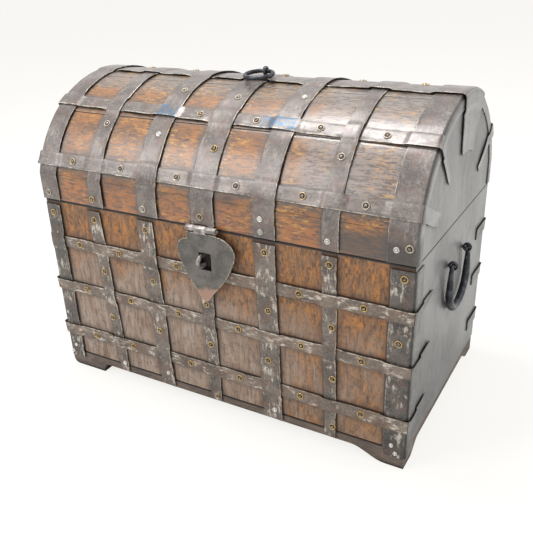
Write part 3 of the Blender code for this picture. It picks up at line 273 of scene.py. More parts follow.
# Handles and ring
EYE_INNER_RADIUS = 0.0027
EYE_WIRE_RADIUS = 0.0013
EYE_SPREAD = 0.0012
EYE_TURNS = 1.86
EYE_STEPS = 44
EYE_SIDES = 14
HANDLE_HEIGHT_SHARE = 0.8135
HANDLE_SHIFT = 0.004
HANDLE_EYE_SPACING = 0.055
BAIL_END_RADIUS = 0.0022
BAIL_END_BEND = 0.0033
BAIL_BEND_SHARE = 0.3
BAIL_RADIUS = 0.0042
BAIL_DROP = 0.058
BAIL_HALF_WIDTH = 0.0335
BAIL_END_OUT = 0.0048
BAIL_TIP_IN = 0.0050
BAIL_BELLY_SHARE = 0.52
BAIL_SIDE_STEPS = 3
BAIL_BELLY_STEPS = 9
BAIL_SIDES = 24
NOSE_STEPS = 3
NOSE_BLUNT = 0.4
SPLINE_STEPS = 6
BAR_HAMMER = 0.00012
BAR_HAMMER_LENGTH = 0.004
RING_OUTER_RADIUS = 0.0178
RING_WIRE_RADIUS = 0.00235
RING_EYE_X = 0.005
RING_STEPS = 72
RING_SIDES = 16
RING_WAVER = 0.004
RING_WAVER_LENGTH = 0.005

# Colours, in linear light
BOX_LIGHT = (0.225, 0.102, 0.034)
BOX_STROKES = (0.47, 0.185, 0.036)
BOX_MIDDLE = (0.225, 0.145, 0.098)
BOX_GREY = (0.35, 0.275, 0.222)
BOX_DARK = (0.060, 0.036, 0.026)
BOX_CRACK = (0.050, 0.026, 0.018)
LID_LIGHT = (0.345, 0.130, 0.018)
LID_MIDDLE = (0.180, 0.070, 0.020)
LID_DARK = (0.070, 0.042, 0.030)
LID_SHADE = (0.095, 0.068, 0.052)
LID_RED = (0.40, 0.130, 0.026)
CRACK = (0.022, 0.015, 0.012)
LID_GREY = (0.185, 0.155, 0.128)
# A stain lightened by painted sheen
LID_STAIN_AND_SHEEN = (0.25, 0.215, 0.195)
SMOKE_AND_SHADE = (0.045, 0.037, 0.032)
LID_PALE = (0.56, 0.285, 0.060)
PLINTH_LIGHT = (0.185, 0.135, 0.105)
PLINTH_DARK = (0.070, 0.054, 0.044)
# Near black: dirt in specks, and painted shade in seams, joints, gaps, undersides and beside the straps
DIRT_AND_SHADE = (0.012, 0.009, 0.008)
IRON_DARK = (0.088, 0.075, 0.065)
IRON_LIGHT = (0.205, 0.176, 0.150)
CORNER_DARK = (0.046, 0.042, 0.039)
CORNER_LIGHT = (0.125, 0.112, 0.100)
HOOP_DARK = (0.110, 0.088, 0.073)
HOOP_LIGHT = (0.240, 0.192, 0.155)
LID_IRON_DARK = (0.095, 0.080, 0.073)
LID_IRON_LIGHT = (0.200, 0.170, 0.153)
RUST = (0.160, 0.088, 0.066)
SCUFF = (0.74, 0.67, 0.58)
BARE_EDGE_AND_HIGHLIGHT = (0.66, 0.60, 0.50)
BLUE_REMAINS = (0.040, 0.115, 0.200)
END_DARK = (0.150, 0.146, 0.138)
END_LIGHT = (0.265, 0.258, 0.245)
SHEET_DARK = (0.155, 0.152, 0.148)
SHEET_LIGHT = (0.272, 0.269, 0.264)
SHEET_STAIN = (0.0775, 0.076, 0.074)
BAR_DARK = (0.022, 0.024, 0.029)
BAR_LIGHT = (0.085, 0.089, 0.100)
HASP_DARK = (0.080, 0.072, 0.064)
HASP_LIGHT = (0.150, 0.138, 0.124)
HASP_STAIN = (0.37, 0.215, 0.155)
BRIGHT_DARK = (0.17, 0.15, 0.14)
BRIGHT_LIGHT = (0.58, 0.53, 0.50)
NAIL_BRASS = (0.66, 0.45, 0.15)
NAIL_BROWN = (0.30, 0.19, 0.085)
NAIL_DULL = (0.46, 0.40, 0.33)
NAIL_SILVER = (0.78, 0.76, 0.72)
NAIL_DARK = (0.030, 0.024, 0.020)
NAIL_CENTRE = (0.42, 0.37, 0.30)

# The weave, from left to right: where a hoop or a long strap passes over or under the others
HOOP_OVER = ("uououoo", "ouououo", "oououoo")
LONG_OVER = ("oououoo", "ouououo", "uououoo", "ouououo")

# Places of the straps, as shares of the size that each follows
HOOP_HEIGHT_SHARES = (0.775, 0.515, 0.238)
HOOP_WIDTH_SHARES = (1.0, 0.95, 1.07)
STUB_TIP_SHARES = ((0.10, 0.45), (0.05, 0.60), (-0.5, 0.5))
COLUMN_TOP_SHARES = (-0.336, -0.173, -0.008, 0.159, 0.315)
COLUMN_FOOT_SHARES = (-0.301, -0.152, 0.001, 0.167, 0.320)
COLUMN_TOP_WIDTH_SHARES = (0.97, 1.10, 0.93, 1.25, 0.85)
COLUMN_FOOT_WIDTH_SHARES = (0.69, 1.03, 0.75, 1.20, 0.66)
LID_COLUMN_SHARES = (-0.317, -0.1565, 0.001, 0.161, 0.319)
LID_COLUMN_WIDTH_SHARES = (0.98, 1.35, 1.45, 1.28, 0.89)
LONG_STRAP_LEFT_SHARES = (-0.899, -0.470, 0.155, 0.777)
LONG_STRAP_RIGHT_SHARES = (-0.899, -0.515, 0.110, 0.777)
TAB_TIP_SHARES = (1.55, 0.70, 1.0, 1.0)

# Strap surfaces
COLUMN_TOP_INSET = 0.005
COLUMN_FOOT = 0.0135
STRAP_END_INSET = 0.0015
FOLD_RADIUS = 0.0015
FOLD_STEPS = 5
SAMPLE_STEP = 0.0026
ACROSS_SPREAD = 1.6
EDGE_THICK_SHARE = 0.62
EDGE_ROUND = 0.00035
RIM_WEAR_AND_HIGHLIGHT_WIDTH = 0.0013
EDGE_WAVER = 0.0004
EDGE_WAVER_LENGTH = 0.016
EDGE_SEEDS = (0, 9)
HAMMER_DEPTH = 0.00016
HAMMER_LENGTH = 0.009
EDGE_LIFT = 0.0015
LIFT_LENGTH = 0.045
LIFT_SEEDS = (5, 15)
LIFT_CLEAR = 0.007
LIFT_CLEAR_FROM = 0.2
LIFT_LEAST = 0.75
LIFT_BEND = 4
CORNER_LIFTS = (0.8, 0)
SHINE_LEAST = 0.35
END_FACE_FROM = 0.55
END_FACE_FADE = 0.14
PAINT_FADE = 0.005
STRAP_MARKS = ("rim", "bend", "along", "across", "deep", "end", "paint")
BLUE_PAINT = ((-0.0810, -0.0610), (0.0480, 0.0840))

# Angles, in degrees, from which an edge of a piece is shaded sharp
FINE_EDGES = 60
STRAP_EDGES = 50
HASP_EDGES = 45
KNUCKLE_EDGES = 40
WOOD_EDGES = 35


def smooth(share):
    share = max(0, min(1, share))
    return share * share * (3 - 2 * share)


def blend(one, two, share):
    return one + (two - one) * share


def span(middle, width):
    """The two ends of a stretch."""
    return middle - width / 2, middle + width / 2


# Levels and places worked out from the above
low_level = GAP
high_level = GAP + STRAP_THICK + GAP
end_step = end_face - half_width
column_top = box_top - COLUMN_TOP_INSET
skirt_top = lid_bottom + LID_SKIRT
dome_rise = lid_crest - skirt_top
dome_radius = (lid_half_depth ** 2 + dome_rise ** 2) / (2 * dome_rise)
dome_axis = lid_crest - dome_radius
dome_angle = math.atan2(lid_half_depth, skirt_top - dome_axis)
profile_length = 2 * LID_SKIRT + 2 * dome_radius * dome_angle
hole_height = lid_bottom - HASP_HOLE_DEPTH - HASP_HOLE_HEIGHT / 2
hasp_plate_y = -(lid_half_depth + GAP + HASP_KNUCKLE_RADIUS * (1 + HASP_STANDOFF_SHARE))
eye_stand = GAP + EYE_INNER_RADIUS + 2 * EYE_WIRE_RADIUS

hoop_heights = [box_top * share for share in HOOP_HEIGHT_SHARES]
hoop_widths = [HOOP_WIDTH * share for share in HOOP_WIDTH_SHARES]
hoop_spans = [span(height, width) for height, width in zip(hoop_heights, hoop_widths)]
lid_columns = [(-end_face, -end_face + RIM_LEG)]
for place_share, width_share in zip(LID_COLUMN_SHARES, LID_COLUMN_WIDTH_SHARES):
    lid_columns.append(span(half_width * 2 * place_share, STRAP_WIDTH * width_share))
lid_columns.append((end_face - RIM_LEG, end_face))


# Nodes of the materials, the world and the floor

class Value:
    """A number, colour or shader on its way through a node tree."""

    def __init__(self, nodes, socket):
        self.nodes = nodes
        self.socket = socket

    def math(self, operation, *others, clamp=False):
        numbers = dict(enumerate((self, *others)))
        return self.nodes.value("Math", numbers, operation=operation, use_clamp=clamp)

    def __add__(self, other):
        return self.math("ADD", other)

    def __mul__(self, other):
        return self.math("MULTIPLY", other)

    def outside(self, middle, half):
        """How far it is outside a stretch: below zero inside it."""
        return self.math("SUBTRACT", middle).math("ABSOLUTE").math("SUBTRACT", half)

    def rise(self, low, high):
        """From 0 to 1 as it goes from low to high."""
        ends = {"Value": self, "From Min": low, "From Max": high}
        return self.nodes.value("MapRange", ends, interpolation_type="SMOOTHSTEP")

    def between(self, low, high):
        """From low to high as it goes from 0 to 1."""
        return self.nodes.value("MapRange", {"Value": self, "To Min": low, "To Max": high})


class Nodes:
    """A node tree, each of its nodes made and linked in one call."""

    def __init__(self, tree):
        self.tree = tree

    def feed(self, socket, value):
        if isinstance(value, Value):
            self.tree.links.new(value.socket, socket)
        elif socket.type == "RGBA":
            socket.default_value = (*value, 1)
        else:
            socket.default_value = value

    def node(self, kind, inputs=None, **settings):
        made = self.tree.nodes.new("ShaderNode" + kind)
        for key, value in settings.items():
            setattr(made, key, value)
        for key, value in (inputs or {}).items():
            self.feed(made.inputs[key], value)
        return made

    def value(self, kind, inputs=None, output=0, **settings):
        return Value(self, self.node(kind, inputs, **settings).outputs[output])

    def rays(self, *kinds):
        """For each kind of ray, 1 where it is of that kind."""
        path = self.node("LightPath")
        return [Value(self, path.outputs[f"Is {kind} Ray"]) for kind in kinds]

    def mixed_shader(self, share, one, two):
        return self.value("MixShader", {0: share, 1: one, 2: two})


class Look(Nodes):
    """A procedural material. Its colour is laid on in coats, each over the last."""

    def __init__(self, name, slot):
        self.material = bpy.data.materials.new(name)
        self.material.use_nodes = True
        self.material["slot"] = slot
        super().__init__(self.material.node_tree)
        self.shader = self.tree.nodes["Principled BSDF"]
        self.place = self.value("TexCoord", output="Object")
        self.colour = None

    def axes(self):
        """The three coordinates of the place."""
        return [Value(self, socket) for socket in self.node("SeparateXYZ", {0: self.place}).outputs]

    def attribute(self, name):
        return self.value("Attribute", output="Fac", attribute_name=name)

    def noise(self, length, detail, shift, rough=0.55, stretch=(1, 1, 1), place=None):
        """Noise from 0 to 1 with a wavelength, stretched along the axes."""
        scale = tuple(1 / (length * times) for times in stretch)
        moved = {"Vector": place or self.place, "Scale": scale, "Location": (shift, shift, shift)}
        turned = self.value("Mapping", moved)
        return self.value(
            "TexNoise", {"Vector": turned, "Scale": 1, "Detail": detail, "Roughness": rough}
        )

    def mix(self, share, one, two):
        """A colour between two."""
        return self.value("Mix", {0: share, 6: one, 7: two}, 2, data_type="RGBA")

    def paint(self, colour, share, strength=None):
        """Lays a colour over the last one, as far as its share goes."""
        if strength is not None:
            share = share * strength
        self.colour = self.mix(share, self.colour, colour)

    def wax(self, weight):
        """A coat of old wax over the whole."""
        self.feed(self.shader.inputs["Coat Weight"], weight)
        self.feed(self.shader.inputs["Coat Roughness"], WAX_ROUGHNESS)

    def finish(self, roughness, metallic, height, distance, strength):
        self.feed(self.shader.inputs["Base Color"], self.colour)
        self.feed(self.shader.inputs["Roughness"], roughness)
        self.feed(self.shader.inputs["Metallic"], metallic)
        bump = {"Height": height, "Distance": distance, "Strength": strength}
        self.feed(self.shader.inputs["Normal"], self.value("Bump", bump))
        return self.material

    def smoke_and_shade(self, clouds, middle, half):
        """A cloudy dark patch at the right end of the lid's front: a stain on the planks, and painted shade
        low on the rim strap.
        """
        x, _, z = self.axes()
        off = x.outside(middle[0], half[0]).math("MAXIMUM", z.outside(middle[1], half[1]))
        off = off + clouds.between(SMOKE_AND_SHADE_FADE, -SMOKE_AND_SHADE_FADE)
        self.paint(SMOKE_AND_SHADE, off.rise(SMOKE_AND_SHADE_FADE * 0.6, -SMOKE_AND_SHADE_FADE * 0.2), SMOKE_AND_SHADE_SHARE)

    def shade_behind_hole(self):
        """Painted shade, black, on what shows through the hasp's hole, where the hasp shades it."""
        x, y, z = self.axes()
        sides = x.outside(HASP_HOLE_SHIFT, HASP_HOLE_WIDTH / 2)
        ends = z.outside(hole_height, HASP_HOLE_HEIGHT / 2)
        hole_shade = sides.math("MAXIMUM", ends).rise(HOLE_SHADE_FADE, 0.0)
        self.paint(DIRT_AND_SHADE, hole_shade * y.rise(0.0, -half_depth + BOARD_THICK / 2))


# Studio

def link_object(name, data):
    thing = bpy.data.objects.new(name, data)
    bpy.context.scene.collection.objects.link(thing)
    return thing


def clear_start():
    """Removes what a new file holds besides the frame."""
    for thing in list(bpy.data.objects):
        if thing.name in ("Cube", "Camera", "Light"):
            bpy.data.objects.remove(thing)


def make_camera():
    azimuth, pitch, roll = CAMERA_AZIMUTH, CAMERA_PITCH, CAMERA_ROLL
    ahead = Vector((
        -math.sin(azimuth) * math.cos(pitch), math.cos(azimuth) * math.cos(pitch), -math.sin(pitch)
    ))
    right = Vector((math.cos(azimuth), math.sin(azimuth), 0))
    down = ahead.cross(right)
    across = math.cos(roll) * right + math.sin(roll) * down
    below = -math.sin(roll) * right + math.cos(roll) * down
    turn = Matrix((across, -below, -ahead)).transposed()
    data = bpy.data.cameras.new("camera")
    data.sensor_width = SENSOR
    data.sensor_fit = "HORIZONTAL"
    data.lens = FOCAL_PIXELS / PICTURE * SENSOR
    camera = link_object("camera", data)
    camera.matrix_world = Matrix.Translation(CAMERA_PLACE) @ turn.to_4x4()
    bpy.context.scene.camera = camera


def make_world():
    """White for the camera and in reflections, and a plain soft light on the rest."""
    world = bpy.data.worlds.new("studio")
    bpy.context.scene.world = world
    world.use_nodes = True
    world.node_tree.nodes.clear()
    studio = Nodes(world.node_tree)
    soft = studio.value("Background", {"Color": WHITE, "Strength": SOFT_LIGHT})
    white = studio.value("Background", {"Color": WHITE, "Strength": 1.0})
    camera, glossy, through = studio.rays("Camera", "Glossy", "Transmission")
    seen = camera.math("MAXIMUM", glossy).math("MAXIMUM", through)
    studio.node("OutputWorld", {"Surface": studio.mixed_shader(seen, soft, white)})


def make_lights():
    """Three softboxes: in front on the left, behind on the right, and a window's sheen above."""
    for name, place, target, size, watts in SOFTBOXES:
        data = bpy.data.lights.new(name, "AREA")
        data.shape = "DISK"
        data.size = size
        data.energy = watts
        light = link_object(name, data)
        light.location = place
        light.rotation_euler = (Vector(place) - Vector(target)).to_track_quat("Z", "Y").to_euler()


def make_floor():
    data = bpy.data.meshes.new("floor")
    shape = bmesh.new()
    bmesh.ops.create_grid(shape, x_segments=1, y_segments=1, size=FLOOR_SIZE / 2)
    shape.to_mesh(data)
    shape.free()
    floor = link_object("floor", data)
    material = bpy.data.materials.new("floor_paper")
    material.use_nodes = True
    paper = Nodes(material.node_tree)
    shader = paper.tree.nodes["Principled BSDF"]
    paper.feed(shader.inputs["Base Color"], FLOOR_COLOUR)
    paper.feed(shader.inputs["Roughness"], FLOOR_ROUGHNESS)
    paper.feed(shader.inputs["Specular IOR Level"], 0)
    glow = paper.value("Emission", {"Color": FLOOR_GLOW})
    share = paper.rays("Camera")[0] * FLOOR_GLOW_SHARE
    seen = paper.mixed_shader(share, Value(paper, shader.outputs[0]), glow)
    paper.feed(paper.tree.nodes["Material Output"].inputs["Surface"], seen)
    data.materials.append(material)


# Shapes

def waver(length, *place):
    """Smooth noise from -1 to 1 with a wavelength, at a place."""
    return noise.noise(Vector(place) / length)


def new_shape(*marks):
    """A mesh in the making, and its layers of numbers that materials read."""
    shape = bmesh.new()
    return shape, {mark: shape.verts.layers.float.new(mark) for mark in marks}


def new_vertex(shape, layers, place, **marks):
    vertex = shape.verts.new(place)
    for mark, number in marks.items():
        vertex[layers[mark]] = number
    return vertex


def skin(shape, rings, closed=False):
    """Faces between rings of vertices, with a cap at both ends unless the rings come round."""
    following = rings[1:] + rings[:1] if closed else rings[1:]
    for one, two in zip(rings, following):
        for k in range(len(one)):
            after = (k + 1) % len(one)
            shape.faces.new((one[k], one[after], two[after], two[k]))
    if not closed:
        shape.faces.new(rings[0][::-1])
        shape.faces.new(rings[-1])


def add_piece(name, shape, material, body, *replaced, sharp=FINE_EDGES):
    """A piece of the visual model that rides on a body, and stands for the nodes named."""
    bmesh.ops.recalc_face_normals(shape, faces=shape.faces)
    data = bpy.data.meshes.new(name)
    shape.to_mesh(data)
    shape.free()
    data.materials.append(material)
    thing = link_object(name, data)
    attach(thing, body)
    if replaced:
        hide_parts(*replaced)
    data.shade_smooth()
    data.set_sharp_from_angle(angle=math.radians(sharp))


class Line:
    """A bent line in a plane, its corners rounded, with the directions out of it."""

    def __init__(self, corners, side):
        corners = [Vector(corner) for corner in corners]
        points = [corners[0]]
        for before, corner, after in zip(corners, corners[1:], corners[2:]):
            back, ahead = (before - corner).normalized(), (after - corner).normalized()
            half_turn = (math.pi - back.angle(ahead)) / 2
            reach = min(FOLD_RADIUS * math.tan(half_turn), (corner - before).length / 2)
            start, end = corner + back * reach, corner + ahead * reach
            for i in range(FOLD_STEPS + 1):
                share = i / FOLD_STEPS
                points.append(start.lerp(corner, share).lerp(corner.lerp(end, share), share))
        points.append(corners[-1])
        self.points = points
        self.marks = [0]
        flats = []
        for first, second in zip(points, points[1:]):
            step = second - first
            self.marks.append(self.marks[-1] + step.length)
            flats.append(Vector((step.y, -step.x)).normalized() * side)
        self.outs = [flats[0]]
        self.outs += [(one + two).normalized() for one, two in zip(flats, flats[1:])]
        self.outs.append(flats[-1])

    def at(self, place):
        """The point there, and the direction out of the line."""
        place = max(0, min(self.marks[-1], place))
        i = max(k for k, mark in enumerate(self.marks[:-1]) if mark <= place)
        length = self.marks[i + 1] - self.marks[i]
        share = (place - self.marks[i]) / length if length else 0
        point = self.points[i].lerp(self.points[i + 1], share)
        return point, self.outs[i].lerp(self.outs[i + 1], share).normalized()

    def length(self):
        return self.marks[-1]


@dataclass
class Strap:
    """A strap: its surface, its edges, and where it passes over and under others.

    surface(along, across) gives the point under the strap and the direction out.
    edges(along) gives its two edges across, and lifted how far each has come up.
    """
    surface: object
    start: float
    end: float
    edges: object
    over: tuple = ()
    under: tuple = ()
    seed: int = 0
    folds: tuple = ()
    lifted: tuple = (0, 1)
    paint: tuple = ()

    def middle(self):
        return self.end / 2

    def raised(self, along):
        """From 0 to 1: how far the strap is raised to pass over others."""
        share = 0
        for low, high in self.over:
            away = max(low - WEAVE_MARGIN - along, along - high - WEAVE_MARGIN, 0)
            share = max(share, smooth(1 - away / WEAVE_RAMP))
        return share

    def level(self, along):
        return low_level + (high_level - low_level) * self.raised(along)

    def free(self, along):
        """From 0, under another strap, to 1 well clear of it."""
        share = 1
        for low, high in self.under:
            away = max(low - along, along - high, 0)
            share = min(share, smooth(away / LIFT_CLEAR - LIFT_CLEAR_FROM))
        return share

    def edge_lifts(self, along):
        """How high each edge stands off what is under it."""
        lifts = []
        for number, share in enumerate(self.lifted):
            wave = waver(LIFT_LENGTH, along, self.seed, LIFT_SEEDS[number])
            lifts.append(EDGE_LIFT * share * self.free(along) * smooth(LIFT_LEAST + wave))
        return lifts

    def painted(self, point):
        """From 0 to 1: old blue paint at a place."""
        share = 0
        for low, high in self.paint:
            away = max(low - point.x, point.x - high, 0)
            share = max(share, smooth(1 - away / PAINT_FADE))
        return share

    def top(self, along, across):
        """The point on top of the strap, and the direction out."""
        point, out = self.surface(along, across)
        return point + out * (self.level(along) + STRAP_THICK), out

    def places_across(self, low, high, count):
        """Places across the strap, close together at its edges, or as many as asked, even."""
        width = high - low - 2 * RIM_WEAR_AND_HIGHLIGHT_WIDTH
        inner = max(2, round(width / (SAMPLE_STEP * ACROSS_SPREAD)))
        places = [low, low + EDGE_ROUND]
        places += [low + RIM_WEAR_AND_HIGHLIGHT_WIDTH + width * i / inner for i in range(inner + 1)]
        places += [high - EDGE_ROUND, high]
        if count and len(places) != count:
            return [low + (high - low) * i / (count - 1) for i in range(count)]
        return places

    def brightened(self, away, number):
        """From 0 to 1: how bright an edge is, worn bare and with a painted highlight. The lifted edges are
        brightest.
        """
        return (1 - away / RIM_WEAR_AND_HIGHLIGHT_WIDTH) * blend(SHINE_LEAST, 1, min(1, self.lifted[number]))

    def ring(self, shape, layers, along, places):
        """The vertices round the strap at a place along it."""
        waves = [waver(EDGE_WAVER_LENGTH, along, self.seed, seed) * EDGE_WAVER for seed in EDGE_SEEDS]
        base, raised, lifts = self.level(along), self.raised(along), self.edge_lifts(along)
        tops, floors = [], []
        for k, across in enumerate(places):
            share = k / (len(places) - 1)
            moved = across + waves[0] * (1 - share) + waves[1] * share
            point, out = self.surface(along, moved)
            rise = base + lifts[0] * (1 - share) ** LIFT_BEND + lifts[1] * share ** LIFT_BEND
            from_low, from_high = across - places[0], places[-1] - across
            from_edge = min(from_low, from_high)
            thick = STRAP_THICK * (EDGE_THICK_SHARE if from_edge <= 0 else 1)
            if from_edge > EDGE_ROUND:
                thick += waver(HAMMER_LENGTH, point.x, point.y + self.seed, point.z) * HAMMER_DEPTH
            # The top is not deep, the floor is: the floor and the sides get painted shade, black
            for side, height, deep in ((tops, rise + thick, 0), (floors, rise, 1)):
                side.append(new_vertex(
                    shape, layers, point + out * height,
                    rim=max(self.brightened(from_low, 0), self.brightened(from_high, 1), 0),
                    bend=4 * raised * (1 - raised),
                    along=along,
                    across=moved,
                    deep=deep,
                    end=smooth((abs(out.x) - END_FACE_FROM) / END_FACE_FADE),
                    paint=self.painted(point),
                ))
        return tops + floors[::-1]

    def build(self, name, material, body, *replaced):
        shape, layers = new_shape(*STRAP_MARKS)
        steps = max(2, round((self.end - self.start) / SAMPLE_STEP))
        alongs = [self.start + (self.end - self.start) * i / steps for i in range(steps + 1)]
        alongs += [fold for fold in self.folds if self.start < fold < self.end]
        rings = []
        for along in sorted(alongs):
            count = len(rings[0]) // 2 if rings else None
            places = self.places_across(*self.edges(along), count)
            rings.append(self.ring(shape, layers, along, places))
        skin(shape, rings)
        add_piece(name, shape, material, body, *replaced, sharp=STRAP_EDGES)


def sweep(shape, points, radii, sides, rough):
    """A round bar along points, its surface hammered a little."""
    points = [Vector(point) for point in points]
    neighbours = zip(points[:1] + points, points[1:] + points[-1:])
    tangents = [(after - before).normalized() for before, after in neighbours]
    side = tangents[0].orthogonal().normalized()
    rings = []
    for point, tangent, radius in zip(points, tangents, radii):
        side = (side - tangent * side.dot(tangent)).normalized()
        other = tangent.cross(side)
        ring = []
        for k in range(sides):
            angle = math.tau * k / sides
            out = side * math.cos(angle) + other * math.sin(angle)
            spot = point + out * radius
            ring.append(shape.verts.new(spot + out * rough * waver(BAR_HAMMER_LENGTH, *spot)))
        rings.append(ring)
    skin(shape, rings)


def add_bar(name, points, radii, sides, material, body, node, rough=BAR_HAMMER, sharp=FINE_EDGES):
    """A piece that is one round bar."""
    shape = bmesh.new()
    sweep(shape, points, radii, sides, rough)
    add_piece(name, shape, material, body, node, sharp=sharp)


def rounded_ends(points, radii):
    """Adds points at both ends of a bar so that it closes with a round nose."""
    first, last = Vector(points[0]), Vector(points[-1])
    start = (first - Vector(points[1])).normalized()
    finish = (last - Vector(points[-2])).normalized()
    head, tail = [], []
    for i in range(1, NOSE_STEPS + 1):
        angle = math.pi / 2 * i / (NOSE_STEPS + NOSE_BLUNT)
        head.insert(0, (first + start * radii[0] * math.sin(angle), radii[0] * math.cos(angle)))
        tail.append((last + finish * radii[-1] * math.sin(angle), radii[-1] * math.cos(angle)))
    whole = head + list(zip(points, radii)) + tail
    return [point for point, _ in whole], [radius for _, radius in whole]


def spline_through(points, values):
    """A smooth line through points, with a value carried along each."""
    points = [Vector(point) for point in points]
    smooth_points, smooth_values = [], []
    for i in range(len(points) - 1):
        a, b = points[max(i - 1, 0)], points[i]
        c, d = points[i + 1], points[min(i + 2, len(points) - 1)]
        for k in range(SPLINE_STEPS):
            t = k / SPLINE_STEPS
            place = 2 * b + (c - a) * t
            place += (2 * a - 5 * b + 4 * c - d) * t ** 2 + (3 * b - a - 3 * c + d) * t ** 3
            smooth_points.append(place / 2)
            smooth_values.append(values[i] + (values[i + 1] - values[i]) * t)
    return smooth_points + [points[-1]], smooth_values + [values[-1]]


def split(spans, patterns, column):
    """The stretches where a column passes over the straps woven with it, and where under."""
    over = [stretch for stretch, pattern in zip(spans, patterns) if pattern[column] == "u"]
    under = [stretch for stretch, pattern in zip(spans, patterns) if pattern[column] == "o"]
    return over, under


def crossings(columns, pattern, total, tip):
    """The stretches where a strap with folded tips passes over the columns, and where under."""
    places = [[total / 2 + low, total / 2 + high] for low, high in columns]
    places[0][0] = tip
    places[-1][1] = total - tip
    over = [place for place, mark in zip(places, pattern) if mark == "o"]
    under = [place for place, mark in zip(places, pattern) if mark == "u"]
    return over, under


# Straps of the box

def column_share(height):
    return (height - COLUMN_FOOT) / (column_top - COLUMN_FOOT)


def column_width(index, height):
    foot, top = COLUMN_FOOT_WIDTH_SHARES[index], COLUMN_TOP_WIDTH_SHARES[index]
    return STRAP_WIDTH * blend(foot, top, column_share(height))


def column_span(index, height):
    share = blend(COLUMN_FOOT_SHARES[index], COLUMN_TOP_SHARES[index], column_share(height))
    return span(half_width * 2 * share, column_width(index, height))


def column_spans(height):
    spans = [column_span(index, height) for index in range(5)]
    left = (-end_face, -end_face + CORNER_LEG_FRONT)
    return [left] + spans + [(end_face - CORNER_LEG_FRONT, end_face)]


def front_column(index):
    def surface(along, across):
        return Vector((across, -half_depth, along)), Vector((0, -1, 0))

    def edges(along):
        return column_span(index, along)

    return Strap(
        surface, COLUMN_FOOT, column_top, edges, *split(hoop_spans, HOOP_OVER, index + 1), index + 1
    )


def corner_column(side_x):
    """The strap round a front corner. Its place across starts at its edge on the front."""
    corners = [(end_face - CORNER_LEG_FRONT, 0), (end_face, 0), (end_face, CORNER_LEG_END)]
    fold = Line([(side_x * x, y - half_depth) for x, y in corners], side_x)

    def surface(along, across):
        point, out = fold.at(across)
        return Vector((point.x, point.y, along)), Vector((out.x, out.y, 0))

    def edges(along):
        return 0, fold.length()

    weave = split(hoop_spans, HOOP_OVER, 0 if side_x < 0 else 6)
    return Strap(surface, COLUMN_FOOT, column_top, edges, *weave, 20 + side_x, lifted=CORNER_LIFTS)


def hoop(row, side):
    """A hoop strap. Its place along starts at its tip on the left end."""
    stub = STUB_LENGTH if side < 0 else BACK_STUB_LENGTH
    corners = [(-end_face, half_depth - stub), (-end_face, half_depth)]
    corners += [(end_face, half_depth), (end_face, half_depth - stub)]
    path = Line([(x, side * y) for x, y in corners], -side)
    total = path.length()
    tip = stub - CORNER_LEG_END
    weave, tips = ((), ()), (-0.5, 0.5)
    if side < 0:
        weave = crossings(column_spans(hoop_heights[row]), HOOP_OVER[row], total, tip)
        tips = STUB_TIP_SHARES[row]

    def surface(along, across):
        point, out = path.at(along)
        return Vector((point.x, point.y, across)), Vector((out.x, out.y, 0))

    def edges(along):
        whole = min(1, min(along, total - along) / tip)
        low, high = blend(tips[0], -0.5, whole), blend(tips[1], 0.5, whole)
        return hoop_heights[row] + hoop_widths[row] * low, hoop_heights[row] + hoop_widths[row] * high

    return Strap(surface, 0, total, edges, *weave, 30 + row * 2 + side, path.marks[1:-1])


# Straps of the lid

def dome_point(angle, radius):
    return Vector((radius * math.sin(angle), dome_axis + radius * math.cos(angle)))


def dome_place(angle):
    """Distance along the lid's profile, from the front's lower edge, at an angle."""
    return LID_SKIRT + dome_radius * (angle + dome_angle)


def dome_angle_at(place):
    return (place - LID_SKIRT) / dome_radius - dome_angle


def profile_at(place):
    """The point on the lid's profile, and the direction out."""
    if place < LID_SKIRT:
        return Vector((-lid_half_depth, lid_bottom + place)), Vector((-1, 0))
    if place > profile_length - LID_SKIRT:
        return Vector((lid_half_depth, lid_bottom + profile_length - place)), Vector((1, 0))
    angle = dome_angle_at(place)
    return dome_point(angle, dome_radius), Vector((math.sin(angle), math.cos(angle)))


def softened(place):
    """As profile_at, with the direction turning smoothly past the skirt's edge."""
    point, out = profile_at(place)
    nearest = LID_SKIRT if place < profile_length / 2 else profile_length - LID_SKIRT
    away = place - nearest
    if abs(away) < FOLD_RADIUS * 2:
        _, one = profile_at(nearest - FOLD_RADIUS * 2)
        _, two = profile_at(nearest + FOLD_RADIUS * 2)
        out = one.lerp(two, 0.5 + away / (FOLD_RADIUS * 4)).normalized()
    return point, out


def inward(place, depth):
    """A point level with the profile's face, moved inwards along the lid's end."""
    if LID_SKIRT <= place <= profile_length - LID_SKIRT:
        return dome_point(dome_angle_at(place), dome_radius - depth)
    point, _ = profile_at(place)
    return Vector((point.x - math.copysign(depth, point.x), point.y))


def long_strap_angle(index, x):
    share = max(0, min(1, (x + half_width) / (half_width * 2)))
    return dome_angle * blend(LONG_STRAP_LEFT_SHARES[index], LONG_STRAP_RIGHT_SHARES[index], share)


def long_strap_spans(x):
    angles = [long_strap_angle(index, x) for index in range(4)]
    return [span(dome_place(angle), width) for angle, width in zip(angles, LONG_STRAP_WIDTHS)]


def split_long(column):
    """As split, for a strap across the lid, and the strap's two edges."""
    low, high = lid_columns[column]
    return (low, high), split(long_strap_spans((low + high) / 2), LONG_OVER, column)


def cross_strap(index, start, end):
    """A cross strap of the lid, from the front's lower edge over to the back's."""
    sides, weave = split_long(index)

    def surface(along, across):
        point, out = softened(along)
        return Vector((across, point.x, point.y)), Vector((0, out.x, out.y))

    def edges(along):
        return sides

    return Strap(surface, start, end, edges, *weave, 50 + index)


